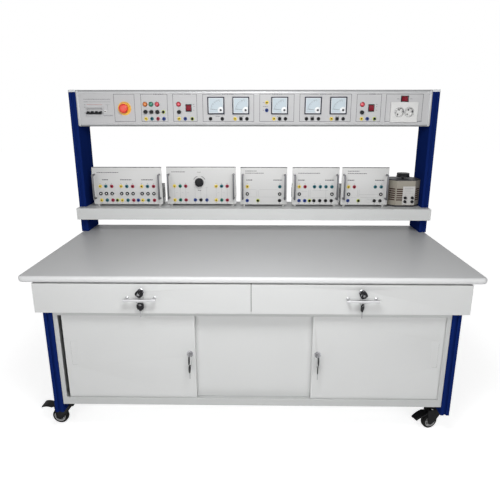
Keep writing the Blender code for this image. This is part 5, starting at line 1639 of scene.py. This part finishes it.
def fluted_knob(radius, height, flutes, skirt, skirt_height):
    """A turned knob whose grip has shallow flutes, standing on a skirt."""
    shape = bmesh.new()
    grip = radius - skirt
    points = bmesh.ops.create_circle(
        shape, radius=grip, segments=flutes * 4, cap_ends=True,
    )["verts"]
    for count, vert in enumerate(points):
        if count % 4 == 0:
            vert.co *= 1.0 - FLUTE_DEPTH / grip
        elif count % 4 == 2:
            vert.co *= 1.0 + RIDGE_RISE / grip
    bmesh.ops.translate(shape, vec=(0, 0, skirt_height), verts=points)
    _, crown = grown_from(shape, shape.faces[:], (0, 0, height - skirt_height))
    bmesh.ops.inset_region(shape, faces=crown, thickness=CROWN_EDGE, depth=0.0)
    lifted = {vert for face in crown for vert in face.verts}
    bmesh.ops.translate(shape, vec=(0, 0, CROWN_RISE), verts=list(lifted))
    bmesh.ops.recalc_face_normals(shape, faces=shape.faces)
    shape.from_mesh(turned([
        (0.0, 0.0), (radius, 0.0), (radius, skirt_height * 0.5), (radius - 0.0008, skirt_height),
        (grip * 0.6, skirt_height + 0.0002),
    ], steps=48))
    return as_mesh(shape, "fluted_knob")


def knob_shaft(radius, length):
    return turned([(0.0, 0.0), (radius, 0.0), (radius, length), (0.0, length)], steps=20)


knob_surfaces = [black_plastic, jack_white]
low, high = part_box("selector_knob")
middle, radius = middle_of("selector_knob"), (high.x - low.x) / 2
shape = bmesh.new()
grip = fluted_knob(radius, high.y - low.y - KNOB_SHAFT, KNOB_FLUTES, KNOB_SKIRT, KNOB_SKIRT)
stamp(shape, grip, facing(middle.x, high.y - KNOB_STAND, middle.z))
stamp(shape, knob_shaft(SHAFT_RADIUS, KNOB_SHAFT), facing(middle.x, high.y, middle.z))
block(
    shape, (-0.0006, low.y - 0.0001, 0.0050), (0.0006, low.y + 0.0010, radius - 0.0042), 1,
    swing((middle.x, 0, middle.z), POINTER_TURN),
)
make(
    "selector_grip", shape, knob_surfaces, "selector_knob", "selector_knob",
    angle=30.0,
)
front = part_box("module_selector")[0].y + PLATE_SETBACK
shape = bmesh.new()
for step in range(SCALE_MARKS):
    degrees = SCALE_FROM + SCALE_STEP * step
    heavy = HEAVY_ARC[0] <= abs(degrees) <= HEAVY_ARC[1]
    if heavy or step % 4 == 0:
        tall = HEAVY_MARK if heavy else LIGHT_MARK
        wide = SCALE_RADIUS * math.radians(SCALE_STEP) / 2 if heavy else LIGHT_MARK_HALF
        block(
            shape, (-wide, -PRINT_PROUD, SCALE_RADIUS - tall / 2),
            (wide, PRINT_PROUD, SCALE_RADIUS + tall / 2),
            place=swing((middle.x, front, middle.z), degrees),
        )
knob_x, knob_z = middle.x * 1000, middle.z * 1000
dashes(shape, front, knob_x - 8.0, knob_x + 7.0, knob_z + 46.0, 2.0)
dashes(shape, front, knob_x - 8.0, knob_x + 8.0, knob_z - 37.0, 2.6)
make("selector_scale", shape, ink, "bench")

# Variable transformer
# Eight-sided vented cover in hammered beige paint between a dark base and a dark top rim; its vent
# slots are dark strips, painted shade in place of openings. It has a plain label plate, four
# binding posts and a large fluted black knob on top.
COVER_SETBACK = 0.008
COVER_CORNER = 0.030
BASE_HEIGHT = 0.008
BASE_INSET = 0.004
TOP_RIM = 0.0040
TOP_INSET = 0.0008
SLOT_ROWS = 6
SLOT_PITCH = 0.0098
SLOT_HEIGHT = 0.0054
SLOT_START = 0.030
SLOT_MARGIN = 0.034
SLOT_PROUD, SLOT_SUNK = 0.0006, 0.001
FRONT_SLOT = (0.0315, 0.0600)
CORNER_SLOT_HALF = 0.0150
LABEL = (0.681, 0.736, 0.7700, 0.8540)
LABEL_PROUD = 0.0010
LABEL_SCREWS = 0.004
TERMINALS = ((693.5, 784.5), (725.5, 784.5), (693.5, 802.0), (725.5, 802.0))
TOP_KNOB_FLUTES = 24
TOP_KNOB_SKIRT = (0.0020, 0.0060)
TOP_KNOB_LIFT = 0.0060
TOP_SHAFT = (0.0050, 0.0065)
LABEL_DASHES = (
    (690, 728, 845, 2.2), (690, 716, 838, 1.4), (694, 724, 830, 1.4),
)
LABEL_LINES = (
    (693.5, 812, 693.5, 822), (725.5, 812, 725.5, 822), (693.5, 822, 725.5, 822),
)

cover_beige = finish(
    "cover_beige", (0.285, 0.262, 0.218), roughness=0.42, mottle=0.16, mottle_scale=260.0,
    relief=0.0002,
)
vent_slot_shade = finish("vent_slot_shade", (0.050, 0.026, 0.022), roughness=0.6, specular_ior_level=0.1)
label_grey = finish("label_grey", (0.52, 0.51, 0.50), roughness=0.34)


def eight_sided(shape, low, high, corner, surface=0):
    """A block whose four upright edges are cut off."""
    made = block(shape, low, high, surface)
    upright = [
        edge for edge in {edge for vert in made for edge in vert.link_edges}
        if rise_of(edge) > (high[2] - low[2]) * 0.9
    ]
    round_edges(shape, upright, corner, 1)


low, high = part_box("transformer_body")
front = low.y + COVER_SETBACK
shape = bmesh.new()
eight_sided(
    shape, (low.x, front, low.z + BASE_HEIGHT), (high.x, high.y, high.z - TOP_RIM), COVER_CORNER,
)
for inset, bottom, top, corner in (
    (BASE_INSET, low.z, low.z + BASE_HEIGHT + 0.0002, COVER_CORNER - BASE_INSET / 2),
    (TOP_INSET, high.z - TOP_RIM - 0.0002, high.z, COVER_CORNER),
):
    eight_sided(
        shape, (low.x + inset, front + inset, bottom), (high.x - inset, high.y - inset, top),
        corner, 1,
    )
middle_x, corner_x = (low.x + high.x) / 2, (high.x - low.x - COVER_CORNER) / 2
# Dark strips for the vent slots: painted shade in place of openings
for count in range(SLOT_ROWS):
    level = low.z + SLOT_START + count * SLOT_PITCH
    top = level + SLOT_HEIGHT
    block(
        shape, (low.x + FRONT_SLOT[0], front - SLOT_PROUD, level),
        (low.x + FRONT_SLOT[1], front + SLOT_SUNK, top), 2,
    )
    for side, x in ((-1, low.x), (1, high.x)):
        for y, degrees in (
            (front + COVER_CORNER / 2, 45 * side), (high.y - COVER_CORNER / 2, -45 * side - 180),
        ):
            block(
                shape, (-CORNER_SLOT_HALF, -SLOT_PROUD, 0),
                (CORNER_SLOT_HALF, SLOT_SUNK, SLOT_HEIGHT), 2,
                swing((middle_x + side * corner_x, y, level), degrees, "Z"),
            )
        block(
            shape, (x - SLOT_PROUD, front + SLOT_MARGIN, level),
            (x + SLOT_PROUD, high.y - SLOT_MARGIN, top), 2,
        )
    block(
        shape, (low.x + SLOT_MARGIN, high.y - SLOT_PROUD, level),
        (high.x - SLOT_MARGIN, high.y + SLOT_PROUD, top), 2,
    )
left, right, bottom, top = LABEL
label_y = front - LABEL_PROUD
block(shape, (left, label_y, bottom), (right, front + 0.0005, top), 3)
screw = turned([(0.0, 0.0008), (0.0014, 0.0006), (0.0018, 0.0)], steps=16, surfaces=[3] * 2)
for x in (left + LABEL_SCREWS, right - LABEL_SCREWS):
    for z in (bottom + LABEL_SCREWS, top - LABEL_SCREWS):
        stamp(shape, screw, facing(x, label_y, z))
terminal = turned([
    (0.0, 0.0110), (0.0028, 0.0110), (0.0034, 0.0104), (0.0056, 0.0086), (0.0060, 0.0080),
    (0.0060, 0.0020), (0.0068, 0.0014), (0.0068, 0.0),
], surfaces=[4] * 7)
stamp_row(shape, terminal, label_y, TERMINALS)
make(
    "transformer_cover", shape, [cover_beige, dark_rim_and_vent_shade, vent_slot_shade, label_grey, black_plastic],
    "bench", "transformer_body", angle=30.0,
)
shape = bmesh.new()
for row_of_dashes in LABEL_DASHES:
    dashes(shape, label_y, *row_of_dashes)
for line in LABEL_LINES:
    print_line(shape, label_y, *line, 0.6)
make("transformer_print", shape, faint_ink, "bench")

low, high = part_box("transformer_knob")
middle = middle_of("transformer_knob")
foot = Matrix.Translation((middle.x, middle.y, low.z))
shape = bmesh.new()
grip = fluted_knob(
    (high.x - low.x) / 2, high.z - low.z - KNOB_SHAFT, TOP_KNOB_FLUTES, *TOP_KNOB_SKIRT,
)
stamp(shape, grip, foot @ Matrix.Translation((0, 0, TOP_KNOB_LIFT)))
stamp(shape, knob_shaft(*TOP_SHAFT), foot)
block(
    shape, (middle.x - 0.0010, low.y + 0.0060, high.z - 0.0006),
    (middle.x + 0.0010, low.y + 0.0200, high.z + 0.0003), 1,
)
make(
    "transformer_grip", shape, knob_surfaces, "transformer_knob",
    "transformer_knob", angle=30.0,
)
